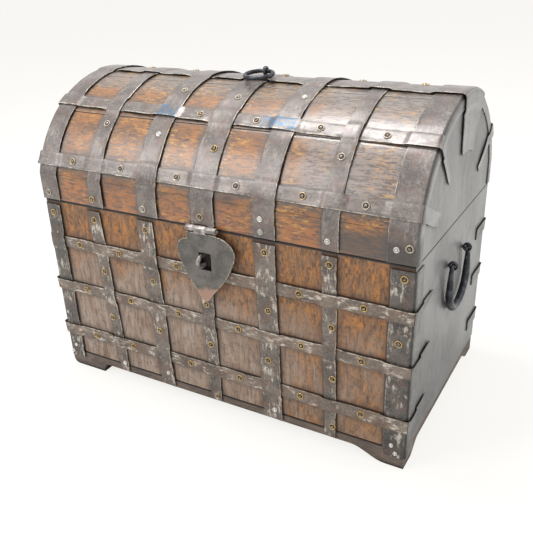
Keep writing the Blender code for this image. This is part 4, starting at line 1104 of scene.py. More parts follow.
def rim_strap(side_x, start, end):
    """The strap on the lid's rim, folded onto the end as a flange."""
    _, weave = split_long(0 if side_x < 0 else 6)
    fold = Line([(end_face - RIM_LEG, 0), (end_face, 0), (end_face, -RIM_FLANGE)], -1)

    def surface(along, across):
        point, out = fold.at(across)
        face, away = softened(along)
        if point.y < 0:
            face = inward(along, -point.y)
        place = Vector((side_x * point.x, face.x, face.y))
        turned = Vector((side_x * out.x, away.x * out.y, away.y * out.y))
        return place, turned.normalized()

    def edges(along):
        return 0, fold.length()

    return Strap(surface, start, end, edges, *weave, 60 + side_x, lifted=CORNER_LIFTS)


def long_strap(index):
    """A strap along the lid, with a tab down each end. Its place along starts at the left tip."""
    path = Line(
        [(-end_face, -TAB_LENGTH), (-end_face, 0), (end_face, 0), (end_face, -TAB_LENGTH)], -1
    )
    total = path.length()
    weave = crossings(lid_columns, LONG_OVER[index], total, TAB_LENGTH - RIM_FLANGE)

    def surface(along, across):
        point, out = path.at(along)
        angle = long_strap_angle(index, point.x) + across / dome_radius
        face = dome_point(angle, dome_radius + point.y)
        turned = Vector((out.x, math.sin(angle) * out.y, math.cos(angle) * out.y))
        return Vector((point.x, face.x, face.y)), turned.normalized()

    def edges(along):
        whole = min(1, min(along, total - along) / TAB_LENGTH)
        half = LONG_STRAP_WIDTHS[index] / 2 * blend(TAB_TIP_SHARES[index], 1, smooth(whole))
        return -half, half

    paint = BLUE_PAINT if index == 1 else ()
    return Strap(surface, 0, total, edges, *weave, 70 + index, path.marks[1:-1], (1, 0), paint)


# Nails

class Nails:
    """The nail heads of one body, made as one piece."""

    def __init__(self):
        self.shape, self.layers = new_shape("radial", "tone")
        self.count = 0

    def add(self, place, tone=0, size=1):
        point, out = place
        self.count += 1
        tilt = [NAIL_TILT * waver(NAIL_TILT_LENGTH, self.count, way, 0) for way in (1, 2)]
        turn = (out + Vector((*tilt, 0))).to_track_quat("Z", "Y").to_matrix().to_4x4()
        turn = Matrix.Translation(point) @ turn
        rings = []
        for share, rise in NAIL_PROFILE:
            ring = []
            for k in range(NAIL_SIDES):
                angle = math.tau * k / NAIL_SIDES
                x, y = math.cos(angle), math.sin(angle)
                uneven = 1 + NAIL_UNEVEN * waver(NAIL_UNEVEN_LENGTH, x, y, self.count)
                radius = NAIL_RADIUS * size * share * uneven
                spot = Vector((radius * x, radius * y, NAIL_HEIGHT * rise))
                ring.append(new_vertex(self.shape, self.layers, turn @ spot, radial=share, tone=tone))
            rings.append(ring)
        skin(self.shape, rings)

    def build(self, name, material, body):
        add_piece(name, self.shape, material, body)


# Materials

def lid_wood_look():
    """Stained planks: golden where worn, with painted shade and dirt beside the straps and in the joints,
    grey on top.
    """
    look = Look("lid_wood_look", "lid_wood")
    near, high = look.attribute("near"), look.attribute("high")
    x, _, z = look.axes()
    fibres = look.noise(0.0026, detail=5, shift=3, rough=0.66, stretch=(4.5, 1, 1))
    streaks = look.noise(0.0030, detail=4, shift=11, stretch=(7, 1, 1))
    clouds = look.noise(0.020, detail=4, shift=5, stretch=(1.7, 1, 1))
    mottle = look.noise(0.0050, detail=6, shift=57, rough=0.72, stretch=(1.5, 1, 1))
    look.colour = look.mix((clouds * 0.7 + streaks * 0.3).rise(0.36, 0.60), LID_MIDDLE, LID_LIGHT)
    look.paint(LID_RED, z.rise(LOW_ROW_FROM, LOW_ROW_TO), 0.60)
    # Painted shade and dirt on the wood beside the straps: a broad mottled band, and a black line at their
    # edges
    look.paint(LID_SHADE, (near + clouds * 0.5 + mottle * 1.1).rise(1.10, 1.75), 0.70)
    look.paint(DIRT_AND_SHADE, (near + fibres * 0.10).rise(0.93, 1.03), 0.65)
    look.paint(LID_GREY, (high + clouds * 0.5).rise(0.45, 0.95), 0.80)
    # A stain on the right of the lid, lightened with painted sheen
    stain_and_sheen = x.rise(STAIN_AND_SHEEN_FROM, STAIN_AND_SHEEN_TO) * z.rise(STAIN_AND_SHEEN_LOW, STAIN_AND_SHEEN_HIGH)
    look.paint(LID_STAIN_AND_SHEEN, (stain_and_sheen + clouds * 0.9).rise(0.72, 1.15), 0.80)
    look.paint(LID_DARK, streaks.rise(0.51, 0.64), 0.60)
    look.paint(LID_DARK, fibres.rise(0.50, 0.60), 0.72)
    pale = look.noise(0.0027, detail=5, shift=27, rough=0.70, stretch=(3.5, 1, 1))
    brightened = look.noise(0.035, detail=3, shift=41)
    look.paint(LID_PALE, pale.rise(0.52, 0.62) * brightened.rise(0.40, 0.58), 0.72)
    flecks = look.noise(0.0030, detail=5, shift=17, rough=0.74, stretch=(1.8, 1, 1)).rise(0.61, 0.69)
    look.paint(DIRT_AND_SHADE, flecks, 0.75)
    cracks = look.noise(0.0028, detail=4, shift=63, rough=0.75, stretch=(3.0, 1, 1))
    look.paint(CRACK, cracks.rise(0.560, 0.610) * mottle.rise(0.40, 0.56), 0.85)
    look.smoke_and_shade(clouds, SMOKE_MIDDLE, SMOKE_HALF)
    # Painted shade and dirt, black, in the joints and along the lower edges, where the planks are marked
    # deep
    look.paint(DIRT_AND_SHADE, look.attribute("deep"))
    look.wax(0.75)
    height = (fibres + streaks * 0.6).math("SUBTRACT", flecks * 0.5, clamp=True)
    roughness = look.noise(0.02, detail=3, shift=31).between(0.34, 0.54)
    return look.finish(roughness, metallic=0, height=height, distance=0.0004, strength=0.55)


def near_box_straps(x, y, z):
    """How far a place on the box's front is from the nearest strap's edge."""
    behind = y.rise(0.0, 0.02) * 0.05
    gaps = [z.outside(height, width / 2) for height, width in zip(hoop_heights, hoop_widths)]
    for index in range(5):
        foot = half_width * 2 * COLUMN_FOOT_SHARES[index]
        slope = (half_width * 2 * COLUMN_TOP_SHARES[index] - foot) / (column_top - COLUMN_FOOT)
        off = x + z.math("MULTIPLY_ADD", -slope, slope * COLUMN_FOOT - foot)
        gaps.append(off.outside(0.0, column_width(index, box_top / 2) / 2) + behind)
    gaps.append(x.outside(0.0, half_width).outside(0.0, CORNER_LEG_FRONT) + behind)
    nearest = gaps[0]
    for gap in gaps[1:]:
        nearest = nearest.math("MINIMUM", gap)
    return nearest


def box_wood_look():
    """Old brown boards with upright grain, more orange towards the top, with painted shade and dirt beside
    the straps and painted shade along the seam.
    """
    look = Look("box_wood_look", "box_wood")
    x, y, z = look.axes()
    outer = y.outside(0.0, half_depth).rise(-0.006, -0.001)
    fibres = look.noise(0.0022, detail=5, shift=3, rough=0.68, stretch=(1, 1, 6))
    ripple = look.noise(0.0040, detail=5, shift=13, rough=0.70, stretch=(2.2, 1, 1))
    streaks = look.noise(0.0050, detail=4, shift=11, stretch=(1, 1, 6))
    clouds = look.noise(0.028, detail=4, shift=5, stretch=(1, 1, 1.5))
    high_and_right = z.rise(0.120, 0.215) * 0.36 + x.rise(-0.06, 0.16) * 0.20
    warm = (high_and_right + clouds * 0.66).rise(0.36, 0.68)
    look.colour = look.mix((clouds * 0.5 + streaks * 0.5).rise(0.36, 0.60), BOX_MIDDLE, BOX_GREY)
    look.paint(BOX_LIGHT, warm, 0.85)
    strokes = look.noise(0.0045, detail=6, shift=71, rough=0.72, stretch=(1, 1, 3.0))
    look.paint(BOX_STROKES, strokes.rise(0.45, 0.60) * warm, 0.80)
    edge_gap = near_box_straps(x, y, z)
    # Painted shade and dirt on the boards beside the straps: a broad dark band, and a black line at their
    # edges
    shade = (edge_gap.between(0, -60) + clouds * 0.9).rise(-0.10, 0.50)
    look.paint(BOX_DARK, shade * outer, 0.50)
    close = (edge_gap + fibres.between(-0.0004, 0.0016)).rise(0.0026, 0.0008)
    look.paint(DIRT_AND_SHADE, close * outer, 0.65)
    look.paint(BOX_DARK, fibres.rise(0.49, 0.63), 0.56)
    look.paint(BOX_DARK, ripple.rise(0.52, 0.68), 0.42)
    flecks = look.noise(0.004, detail=5, shift=17, rough=0.7, stretch=(1, 1, 1.6))
    look.paint(DIRT_AND_SHADE, flecks.rise(0.66, 0.72), 0.6)
    cracks = look.noise(0.0030, detail=5, shift=83, rough=0.78, stretch=(1, 1, 2.2)).rise(0.50, 0.60)
    look.paint(BOX_CRACK, cracks * warm, 0.72)
    # Painted shade, black, along the seam under the lid
    look.paint(DIRT_AND_SHADE, z.rise(box_top - SEAM_SHADE * 2, box_top - SEAM_SHADE) * outer)
    # Painted shade behind the hasp's hole
    look.shade_behind_hole()
    roughness = look.noise(0.02, detail=3, shift=31).between(0.45, 0.66)
    height = fibres * 0.7 + ripple * 0.4
    return look.finish(roughness, metallic=0, height=height, distance=0.0004, strength=0.5)


def plinth_look():
    """Dark boards under the box, with black painted shade where they meet it and at the bottom, where they
    stand on the floor.
    """
    look = Look("plinth_wood_look", "plinth_wood")
    height = look.axes()[2]
    clouds = look.noise(0.03, detail=4, shift=5, stretch=(2, 2, 1))
    grain = look.noise(0.0014, detail=4, shift=3, rough=0.6, stretch=(8, 8, 1))
    tone = grain * 0.5 + clouds * 0.5
    look.colour = look.mix(tone.rise(0.40, 0.62), PLINTH_DARK, PLINTH_LIGHT)
    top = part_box("front_plinth")[1][2]
    # Painted shade, black, where the plinth meets the box and at its foot on the floor
    look.paint(DIRT_AND_SHADE, height.rise(top - SEAM_SHADE * 1.6, top - SEAM_SHADE * 0.6))
    look.paint(DIRT_AND_SHADE, height.rise(0.005, 0.0))
    return look.finish(clouds.between(0.45, 0.7), metallic=0, height=tone, distance=0.0004, strength=0.5)


def strap_look(name, dark, light, rust, worn, polish, wax=0, slot="strap_iron"):
    """Old strap iron: brown-grey, with rust, pale scuffs along it, bare edges with a painted highlight, and
    painted shade underneath.

    rust and worn are the strengths of the rust and the scuffs.
    """
    look = Look(name, slot)
    end = look.attribute("end")
    broad = look.noise(0.024, detail=5, shift=2)
    fine = look.noise(0.0024, detail=5, shift=7, rough=0.72)
    tone = broad * 0.45 + fine * 0.55
    look.colour = look.mix(tone.rise(0.40, 0.60), dark, light)
    look.paint(RUST, look.noise(0.013, detail=6, shift=19).rise(0.48, 0.62), rust)
    places = (look.noise(0.022, detail=3, shift=53) + look.attribute("bend") * 0.14).rise(0.46, 0.58)
    lengthwise = look.value("CombineXYZ", {0: look.attribute("along"), 1: look.attribute("across")})
    scuffs = look.noise(0.0062, detail=7, shift=29, rough=0.74, stretch=(1.9, 0.75, 1), place=lengthwise)
    look.paint(SCUFF, scuffs.rise(0.49, 0.60) * places, worn)
    chips = look.noise(0.008, detail=5, shift=37, rough=0.7).rise(0.40, 0.60)
    # Bare worn edges with a painted highlight, brightest on the lifted edges
    look.paint(BARE_EDGE_AND_HIGHLIGHT, look.attribute("rim").rise(0.30, 0.75) * chips, 0.72)
    flakes = look.noise(0.004, detail=5, shift=61, rough=0.7, stretch=(2, 1, 1)).rise(0.44, 0.56)
    look.paint(BLUE_REMAINS, look.attribute("paint") * flakes, 0.95)
    look.paint(look.mix(tone.rise(0.38, 0.62), END_DARK, END_LIGHT), end)
    look.paint(DIRT_AND_SHADE, end.rise(0.05, 0.40) * end.rise(0.95, 0.60), 0.75)
    # Painted shade, black, on the strap's underside and sides, marked deep
    look.paint(DIRT_AND_SHADE, look.attribute("deep"))
    # Painted shade behind the hasp's hole
    look.shade_behind_hole()
    # Painted shade low on the rim strap at the right end, under its sheen
    if wax:
        look.smoke_and_shade(broad, RIM_SHADE_MIDDLE, RIM_SHADE_HALF)
    look.wax(wax)
    roughness = look.noise(0.012, detail=4, shift=41).between(polish - 0.08, polish + 0.16)
    height = fine * 0.75 + broad * 0.25
    return look.finish(roughness, metallic=0.35, height=height, distance=0.0003, strength=0.5)


def hasp_look():
    """Smooth dark plate with a paler rim and a rust-pink stain on its tip, and painted shade on its back and
    in its hole.
    """
    look = Look("hasp_look", "hasp_iron")
    broad = look.noise(0.016, detail=5, shift=2)
    fine = look.noise(0.0020, detail=4, shift=7, rough=0.65)
    tone = broad * 0.65 + fine * 0.35
    look.colour = look.mix(tone.rise(0.38, 0.62), HASP_DARK, HASP_LIGHT)
    look.paint(HASP_STAIN, look.attribute("low"), 0.85)
    look.paint(SCUFF, look.attribute("rim").rise(0.3, 0.8) * fine.rise(0.40, 0.55), 0.55)
    # Painted shade, dark, on the plate's back and down the walls of its hole
    look.paint(DIRT_AND_SHADE, look.attribute("deep"), 0.8)
    return look.finish(broad.between(0.34, 0.52), metallic=0.4, height=tone, distance=0.0003, strength=0.45)


def bar_look(name, slot, dark, light):
    """Forged bar, with paler worn places."""
    look = Look(name, slot)
    broad = look.noise(0.012, detail=4, shift=3)
    look.colour = look.mix(broad.rise(0.42, 0.66), dark, light)
    look.paint(SCUFF, look.noise(0.004, detail=5, shift=21, rough=0.7).rise(0.60, 0.70), 0.5)
    height = look.noise(0.0018, detail=4, shift=9) + broad
    return look.finish(broad.between(0.28, 0.51), metallic=0.6, height=height, distance=0.0003, strength=0.5)


def sheet_look():
    """Thin grey sheet iron with soft vertical streaks and faint dents."""
    look = Look("end_sheet_look", "end_sheet")
    streaks = look.noise(0.0045, detail=5, shift=5, rough=0.6, stretch=(1, 1, 9))
    fine = look.noise(0.0012, detail=3, shift=15, stretch=(1, 1, 14))
    clouds = look.noise(0.06, detail=4, shift=25, stretch=(1, 1, 1.6))
    mottle = look.noise(0.010, detail=7, shift=45, rough=0.66, stretch=(1, 1, 1.3))
    tone = streaks * 0.18 + fine * 0.06 + clouds * 0.40 + mottle * 0.36
    look.colour = look.mix(tone.rise(0.38, 0.60), SHEET_DARK, SHEET_LIGHT)
    stains = look.noise(0.018, detail=5, shift=33, stretch=(1, 1, 2))
    look.paint(SHEET_STAIN, stains.rise(0.58, 0.72), 0.35)
    # Painted shade, black, along the seam between lid and box
    look.paint(DIRT_AND_SHADE, look.axes()[2].outside(box_top, 0.0).rise(SHEET_SEAM, 0.0), 0.9)
    height = clouds * 0.7 + mottle * 0.3
    roughness = mottle.between(0.30, 0.54)
    return look.finish(roughness, metallic=0.5, height=height, distance=0.0008, strength=0.5)


def nail_look():
    """Ring heads with a dark groove and a spot in the middle, in the tones of the nails."""
    look = Look("nail_look", "strap_iron")
    radial, tone = look.attribute("radial"), look.attribute("tone")
    silver = tone.rise(0.6, 1.0)
    fine = look.noise(0.0012, detail=4, shift=3)
    grain = fine.rise(0.40, 0.62)
    spot = look.mix(silver, look.mix(grain, NAIL_DARK, NAIL_CENTRE), NAIL_SILVER)
    look.colour = look.mix(grain, NAIL_BROWN, NAIL_BRASS)
    look.paint(NAIL_DULL, tone.rise(0.0, 0.5))
    look.paint(NAIL_SILVER, silver)
    look.paint(spot, radial.rise(0.64, 0.56))
    groove = radial.rise(0.30, 0.40) * radial.rise(0.72, 0.62)
    look.paint(NAIL_DARK, groove * tone.between(1.0, 0.35))
    return look.finish(fine.between(0.28, 0.5), metallic=0.6, height=fine, distance=0.0002, strength=0.4)


# Planks of the lid, and the boards that stay as they are in the frame

def strap_distance(x, place):
    """How far a spot on the lid is from the nearest strap's edge."""
    gaps = [max(low - x, x - high, 0) for low, high in lid_columns]
    gaps += [max(low - place, place - high, 0) for low, high in long_strap_spans(x)]
    return min(LID_SKIRT, *gaps)


def plank_places(low, high, ease_low, ease_high):
    """Places across a plank along the lid's profile, and how far each is worn down."""
    count = max(3, round((high - low) / PLANK_STEP))
    places = [(low + (high - low) * k / count, 0) for k in range(1, count)]
    head, tail = [(low, 0)], [(high, 0)]
    if ease_low:
        head = [(low + ease_low * away, ease_low * drop) for away, drop in PLANK_EASE]
    if ease_high:
        tail = [(high - ease_high * away, ease_high * drop) for away, drop in PLANK_EASE[::-1]]
    return head + places + tail


def plank_back(low, high):
    """The inner side of a plank, from its high end to its low end."""
    if high <= LID_SKIRT or low >= profile_length - LID_SKIRT:
        side = -1 if high <= LID_SKIRT else 1
        inner = side * (lid_half_depth - BOARD_THICK)
        upper = skirt_top - BOARD_THICK / math.tan(dome_angle)
        points = [(inner, upper), (inner, lid_bottom)]
        return points if side < 0 else points[::-1]
    angles = [dome_angle_at(place) for place in (high, (low + high) / 2, low)]
    return [dome_point(angle, dome_radius - STAVE_THICK) for angle in angles]


def add_plank(shape, layers, low, high, eases, seed):
    """One closed plank along the lid, between two places of its profile."""
    places, back = plank_places(low, high, *eases), plank_back(low, high)
    rings = []
    for i in range(PLANK_STEPS_ALONG + 1):
        x = -half_width + 2 * half_width * i / PLANK_STEPS_ALONG
        ring = []
        for place, drop in places:
            point, out = profile_at(place)
            wave = waver(STAVE_WAVER_LENGTH, x / STAVE_WAVER_STRETCH, place, seed)
            spot = point - out * (drop + STAVE_WAVER * smooth(0.5 + wave / 2))
            angle = abs(math.degrees(math.atan2(point.x, point.y - dome_axis)))
            ring.append(new_vertex(
                shape, layers, (x, *spot),
                near=smooth(1 - strap_distance(x, place) / NEAR_REACH),
                high=smooth((HIGH_FROM - angle) / HIGH_FADE),
                # Eased vertices are deep: painted shade and dirt in the joints and along the lower edges
                deep=EASE_DIRT_AND_SHADE if drop else 0,
            ))
        ring += [new_vertex(shape, layers, (x, *spot), near=BACK_SHADE) for spot in back]
        rings.append(ring)
    skin(shape, rings)


def build_lid_planks(material):
    """The skirts and the staves between them, worn along their joints and their lower edges, with painted
    shade and dirt there.
    """
    shape, layers = new_shape("near", "high", "deep")
    joints = [dome_place(dome_angle * (2 * joint / DOME_SEGMENTS - 1)) for joint in STAVE_JOINTS]
    edges = [LID_SKIRT] + joints + [profile_length - LID_SKIRT]
    gaps = [GAP] + [STAVE_GAP] * len(joints) + [GAP]
    eases = [0] + [STAVE_EASE] * len(joints) + [0]
    add_plank(shape, layers, 0, LID_SKIRT - GAP / 2, (SEAM_EASE, 0), 0)
    for k in range(len(joints) + 1):
        low, high = edges[k] + gaps[k] / 2, edges[k + 1] - gaps[k + 1] / 2
        add_plank(shape, layers, low, high, eases[k:k + 2], k + 1)
    add_plank(shape, layers, edges[-1] + GAP / 2, profile_length, (0, SEAM_EASE), BACK_SKIRT_SEED)
    replaced = ("lid_barrel", "lid_front_board", "lid_back_board")
    add_piece("lid_planks", shape, material, "lid", *replaced, sharp=WOOD_EDGES)


def dress(name, material, bevel=0.0):
    """Gives a CAD node its finish, and eases its edges."""
    thing = bpy.data.objects[name]
    thing.data.materials.clear()
    thing.data.materials.append(material)
    if bevel:
        modifier = thing.modifiers.new("ease", "BEVEL")
        modifier.width = bevel
        modifier.segments = 2
        modifier.limit_method = "ANGLE"
        modifier.angle_limit = math.radians(WOOD_EDGES)


def dress_boards(looks):
    """Gives each CAD solid that stays its finish."""
    for name in nodes:
        if name in ("lid_front_board", "lid_back_board"):
            continue
        if name.endswith("_sheet"):
            dress(name, looks["sheet"])
        elif name.endswith("_plinth"):
            dress(name, looks["plinth"], PLINTH_EASE)
        elif name.startswith("box_") and name.endswith("_board"):
            dress(name, looks["box_wood"], BOARD_EASE)
        elif name.startswith("lid_") and name.endswith("_board"):
            dress(name, looks["lid_wood"], BOARD_EASE)
        elif "hinge" in name or name == "hasp_pin":
            dress(name, looks["hinge"])


# Straps and nails

def build_box_straps(iron, hoop_iron, corner_iron):
    nails = Nails()
    columns = [corner_column(-1)] + [front_column(index) for index in range(5)] + [corner_column(1)]
    for number, strap in enumerate(columns):
        name = f"front_column_strap_{number + 1}"
        strap.build("worn_" + name, corner_iron if number in (0, 6) else iron, "box", name)
    for row, word in enumerate(("top", "middle", "bottom")):
        height = hoop_heights[row]
        front, back = hoop(row, -1), hoop(row, 1)
        for side, strap in (("front", front), ("back", back)):
            strap.build(f"worn_{side}_{word}_hoop", hoop_iron, "box", f"{side}_{word}_hoop")
        for x in HOOP_NAILS[row]:
            nails.add(front.top(front.middle() + x, height))
        spans = column_spans(height)
        for left, right in zip(spans, spans[1:]):
            nails.add(back.top(back.middle() - (left[1] + right[0]) / 2, height))
    for index in range(5):
        for number, (x, height) in enumerate(COLUMN_NAILS[index]):
            tone, size = (SILVER, SILVER_SIZE) if (index, number) in SILVER_COLUMN_NAILS else (BRASS, 1)
            size = SMALL_SIZE if (index, number) in SMALL_COLUMN_NAILS else size
            nails.add(columns[index + 1].top(height, x), tone, size)
    for side, number in ((-1, 0), (1, 6)):
        for height, across in CORNER_NAILS[side]:
            tone, size = (BRASS, 1) if height > CORNER_LOW_NAILS else (SILVER, SMALL_SIZE)
            nails.add(columns[number].top(height, across), tone, size)
    return nails


def build_lid_straps(iron):
    nails = Nails()
    start, end = STRAP_END_INSET, profile_length - STRAP_END_INSET
    for index in range(7):
        if index in (0, 6):
            strap = rim_strap(-1 if index == 0 else 1, start, end)
            middle = RIM_LEG / 2
        else:
            strap = cross_strap(index, leaf_top() + GAP if index == 3 else start, end)
            middle = sum(lid_columns[index]) / 2
        name = f"lid_cross_strap_{index + 1}"
        strap.build("worn_" + name, iron, "lid", name)
        for x, spot, tone in CROSS_NAILS[index]:
            place = spot - lid_bottom if spot > 0 else dome_place(math.radians(spot))
            across = RIM_LEG - (end_face - abs(x)) if index in (0, 6) else x
            nails.add(strap.top(place, across), tone, SILVER_SIZE if tone > SILVER_FROM else 1)
        for place in (dome_place(BACK_NAIL_ANGLE), profile_length - LID_NAIL_INSET):
            nails.add(strap.top(place, middle), DULL)
    for index, word in enumerate(("front_low", "front_high", "ridge", "back")):
        strap = long_strap(index)
        strap.build(f"worn_lid_{word}_strap", iron, "lid", f"lid_{word}_strap")
        for number, x in enumerate(LONG_NAILS[index]):
            tone = LONG_NAIL_TONES[number % len(LONG_NAIL_TONES)]
            nails.add(strap.top(strap.middle() + x, 0), tone)
    return nails


# Hasp and staple

def leaf_top():
    """The hasp's leaf ends under the middle of the lowest long strap."""
    return dome_place(long_strap_angle(0, 0))


def hasp_side(neck_end, wide, widest):
    """One edge of the hasp: a round shoulder out to its widest, then the flank down to the tip."""
    neck = HASP_NECK_WIDTH / 2
    shoulder = widest - neck_end
    points = [(neck, -HASP_CLEAR), (neck, -neck_end)]
    for i in range(1, HASP_SHOULDER_STEPS + 1):
        angle = math.pi / 2 * (1 - i / HASP_SHOULDER_STEPS)
        across = neck + (wide - neck) * math.cos(angle)
        points.append((across, -widest + shoulder * math.sin(angle)))
    fall = HASP_LENGTH - HASP_TIP_RADIUS - widest
    flank = [points[-1]] + [(wide * out, -widest - fall * down) for down, out in HASP_FLANK_SHARES]
    curved, _ = spline_through(flank, [0] * len(flank))
    return points[:-1] + [tuple(point) for point in curved]


def hasp_outline():
    """The hasp's plate as a closed line, hanging below its hinge at height 0."""
    right = hasp_side(HASP_RIGHT_NECK, HASP_RIGHT_WIDE, HASP_RIGHT_WIDEST)
    left = [(-x, z) for x, z in hasp_side(HASP_LEFT_NECK, HASP_LEFT_WIDE, HASP_LEFT_WIDEST)]
    tip_x, tip_z = HASP_TIP_SHIFT, -HASP_LENGTH + HASP_TIP_RADIUS
    tip = []
    for degrees in HASP_TIP_DEGREES:
        angle = math.radians(degrees)
        tip.append((tip_x + HASP_TIP_RADIUS * math.cos(angle), tip_z + HASP_TIP_RADIUS * math.sin(angle)))
    return right + tip + left[::-1]


def ray_reach(centre, angle, outline):
    """The way from a point inside an outline to the outline, in a direction."""
    ahead = Vector((math.cos(angle), math.sin(angle)))
    best = 0
    for one, two in zip(outline, outline[1:] + outline[:1]):
        one, two = Vector(one) - centre, Vector(two) - centre
        edge = two - one
        turn = ahead.cross(edge)
        if abs(turn) < GAP * GAP:
            continue
        away, share = one.cross(edge) / turn, one.cross(ahead) / turn
        if away > 0 and 0 <= share <= 1:
            best = max(best, away)
    return ahead * best


def build_hasp_plate(material):
    """The plate is an annulus of rings between its hole and its outline."""
    centre = Vector((HASP_HOLE_SHIFT, -HASP_HOLE_DEPTH - HASP_HOLE_HEIGHT / 2))
    corner = Vector((HASP_HOLE_WIDTH / 2, HASP_HOLE_HEIGHT / 2))
    hole = [centre + corner * Vector(way) for way in ((-1, -1), (1, -1), (1, 1), (-1, 1))]
    outline = hasp_outline()
    shape, layers = new_shape("rim", "low", "deep")
    rings = []
    for k in range(HASP_SIDES):
        angle = math.tau * k / HASP_SIDES
        inner = centre + ray_reach(centre, angle, hole)
        outer = centre + ray_reach(centre, angle, outline)
        fronts, backs = [], []
        for share in HASP_RING_SHARES:
            flat = inner.lerp(outer, share)
            wave = HASP_WAVER * waver(HASP_WAVER_LENGTH, flat.x, flat.y, HASP_WAVER_SEED)
            front = HASP_THICK / 2 + (-HASP_EDGE_EASE if share in (0, 1) else wave)
            stain = HASP_STAIN_TOP + HASP_STAIN_SLOPE * flat.x - flat.y
            # The back is deep, the front is not: painted shade on the back and down the hole's walls
            for side, out, deep in ((fronts, front, 0), (backs, -HASP_THICK / 2, 1)):
                side.append(new_vertex(
                    shape, layers, (flat.x, hasp_plate_y - out, lid_bottom + flat.y),
                    rim=max(0, 1 - (flat - outer).length / HASP_RIM),
                    low=smooth(stain / HASP_STAIN_FADE),
                    deep=deep,
                ))
        rings.append(fronts + backs[::-1])
    skin(shape, rings, closed=True)
    add_piece("worn_hasp", shape, material, "hasp", "hasp", sharp=HASP_EDGES)


def knuckle_spans():
    edges = [-sum(HASP_KNUCKLES) / 2]
    for length in HASP_KNUCKLES:
        edges.append(edges[-1] + length)
    return [(low + GAP / 2, high - GAP / 2) for low, high in zip(edges, edges[1:])]


def add_knuckle(shape, ends):
    """A rolled knuckle about the hasp's axis, a little uneven."""
    low, high = ends
    axis_y = -(lid_half_depth + GAP + HASP_KNUCKLE_RADIUS)
    points, radii = [], []
    for i in range(KNUCKLE_STEPS + 1):
        share = i / KNUCKLE_STEPS
        points.append((blend(low, high, share), axis_y, lid_bottom))
        from_end = min(share, 1 - share) * (high - low)
        radii.append(HASP_KNUCKLE_RADIUS * (1 if from_end > KNUCKLE_EASE else KNUCKLE_END_SHARE))
    sweep(shape, points, radii, KNUCKLE_SIDES, BAR_HAMMER)


def add_tab(shape, ends, near, far, floor, top):
    """The plate between a knuckle and its leaf."""
    low, high = ends
    size = Vector((high - low - GAP * 4, abs(near - far), top - floor))
    middle = Vector(((low + high) / 2, (near + far) / 2, (floor + top) / 2))
    place = Matrix.Translation(middle) @ Matrix.Diagonal((*size, 1))
    bmesh.ops.create_cube(shape, size=1, matrix=place)


def build_hasp_knuckle(material):
    shape = bmesh.new()
    ends = knuckle_spans()[1]
    add_knuckle(shape, ends)
    near, far = hasp_plate_y + HASP_TAB_THICK / 2, hasp_plate_y - HASP_TAB_THICK / 2
    add_tab(shape, ends, near, far, lid_bottom - HASP_TAB_DROP, lid_bottom)
    add_piece("hasp_knuckle", shape, material, "hasp", sharp=KNUCKLE_EDGES)


def build_hasp_leaf(iron, knuckle_material):
    start = HASP_KNUCKLE_RADIUS + GAP * 2
    strap = cross_strap(3, start, leaf_top())
    strap.over = ()
    strap.under = ((leaf_top() - LONG_STRAP_WIDTH / 2, leaf_top()),)
    strap.build("worn_hasp_leaf", iron, "lid", "hasp_leaf")
    shape = bmesh.new()
    left, right = lid_columns[3]
    face = -(lid_half_depth + low_level)
    for low, high in knuckle_spans()[::2]:
        add_knuckle(shape, (low, high))
        inside = (max(low, left), min(high, right))
        add_tab(shape, inside, face, face - STRAP_THICK, lid_bottom, lid_bottom + start + STRAP_THICK)
    add_piece("hasp_leaf_knuckles", shape, knuckle_material, "lid", sharp=KNUCKLE_EDGES)
    return strap


def build_staple(material):
    back = -(half_depth - STAPLE_DEPTH)
    bend = -(half_depth + STAPLE_REACH - STAPLE_RADIUS - STAPLE_HALF_HEIGHT)
    points = [(STAPLE_SHIFT, back, hole_height + STAPLE_HALF_HEIGHT)]
    for i in range(STAPLE_STEPS + 1):
        angle = math.pi * (0.5 - i / STAPLE_STEPS)
        out = STAPLE_HALF_HEIGHT * math.cos(angle)
        points.append((STAPLE_SHIFT, bend - out, hole_height + STAPLE_HALF_HEIGHT * math.sin(angle)))
    points.append((STAPLE_SHIFT, back, hole_height - STAPLE_HALF_HEIGHT))
    radii = [STAPLE_RADIUS] * len(points)
    piece = ("worn_hasp_staple", points, radii, STAPLE_SIDES, material, "box", "hasp_staple")
    add_bar(*piece, sharp=STRAP_EDGES)


# Eyes, handles and ring

def eye_coil(shank):
    """An eye: its shank runs along -X, then the wire turns nearly twice about Y."""
    radius = EYE_INNER_RADIUS + EYE_WIRE_RADIUS
    points = [(-radius - shank, -EYE_SPREAD, 0), (-radius - EYE_WIRE_RADIUS, -EYE_SPREAD, 0)]
    for i in range(EYE_STEPS + 1):
        share = i / EYE_STEPS
        angle = math.pi - math.tau * EYE_TURNS * share
        points.append((radius * math.cos(angle), EYE_SPREAD * (2 * share - 1), radius * math.sin(angle)))
    return points


def build_eye(name, material, body, place, turn, board, node):
    """An eye that stands off the face by its coil. Its shank goes through a board."""
    shank = eye_stand + board - EYE_INNER_RADIUS - EYE_WIRE_RADIUS
    points = [turn @ Vector(point) + Vector(place) for point in eye_coil(shank)]
    points, radii = rounded_ends(points, [EYE_WIRE_RADIUS] * len(points))
    add_bar(name, points, radii, EYE_SIDES, material, body, node, rough=BAR_HAMMER / 2)


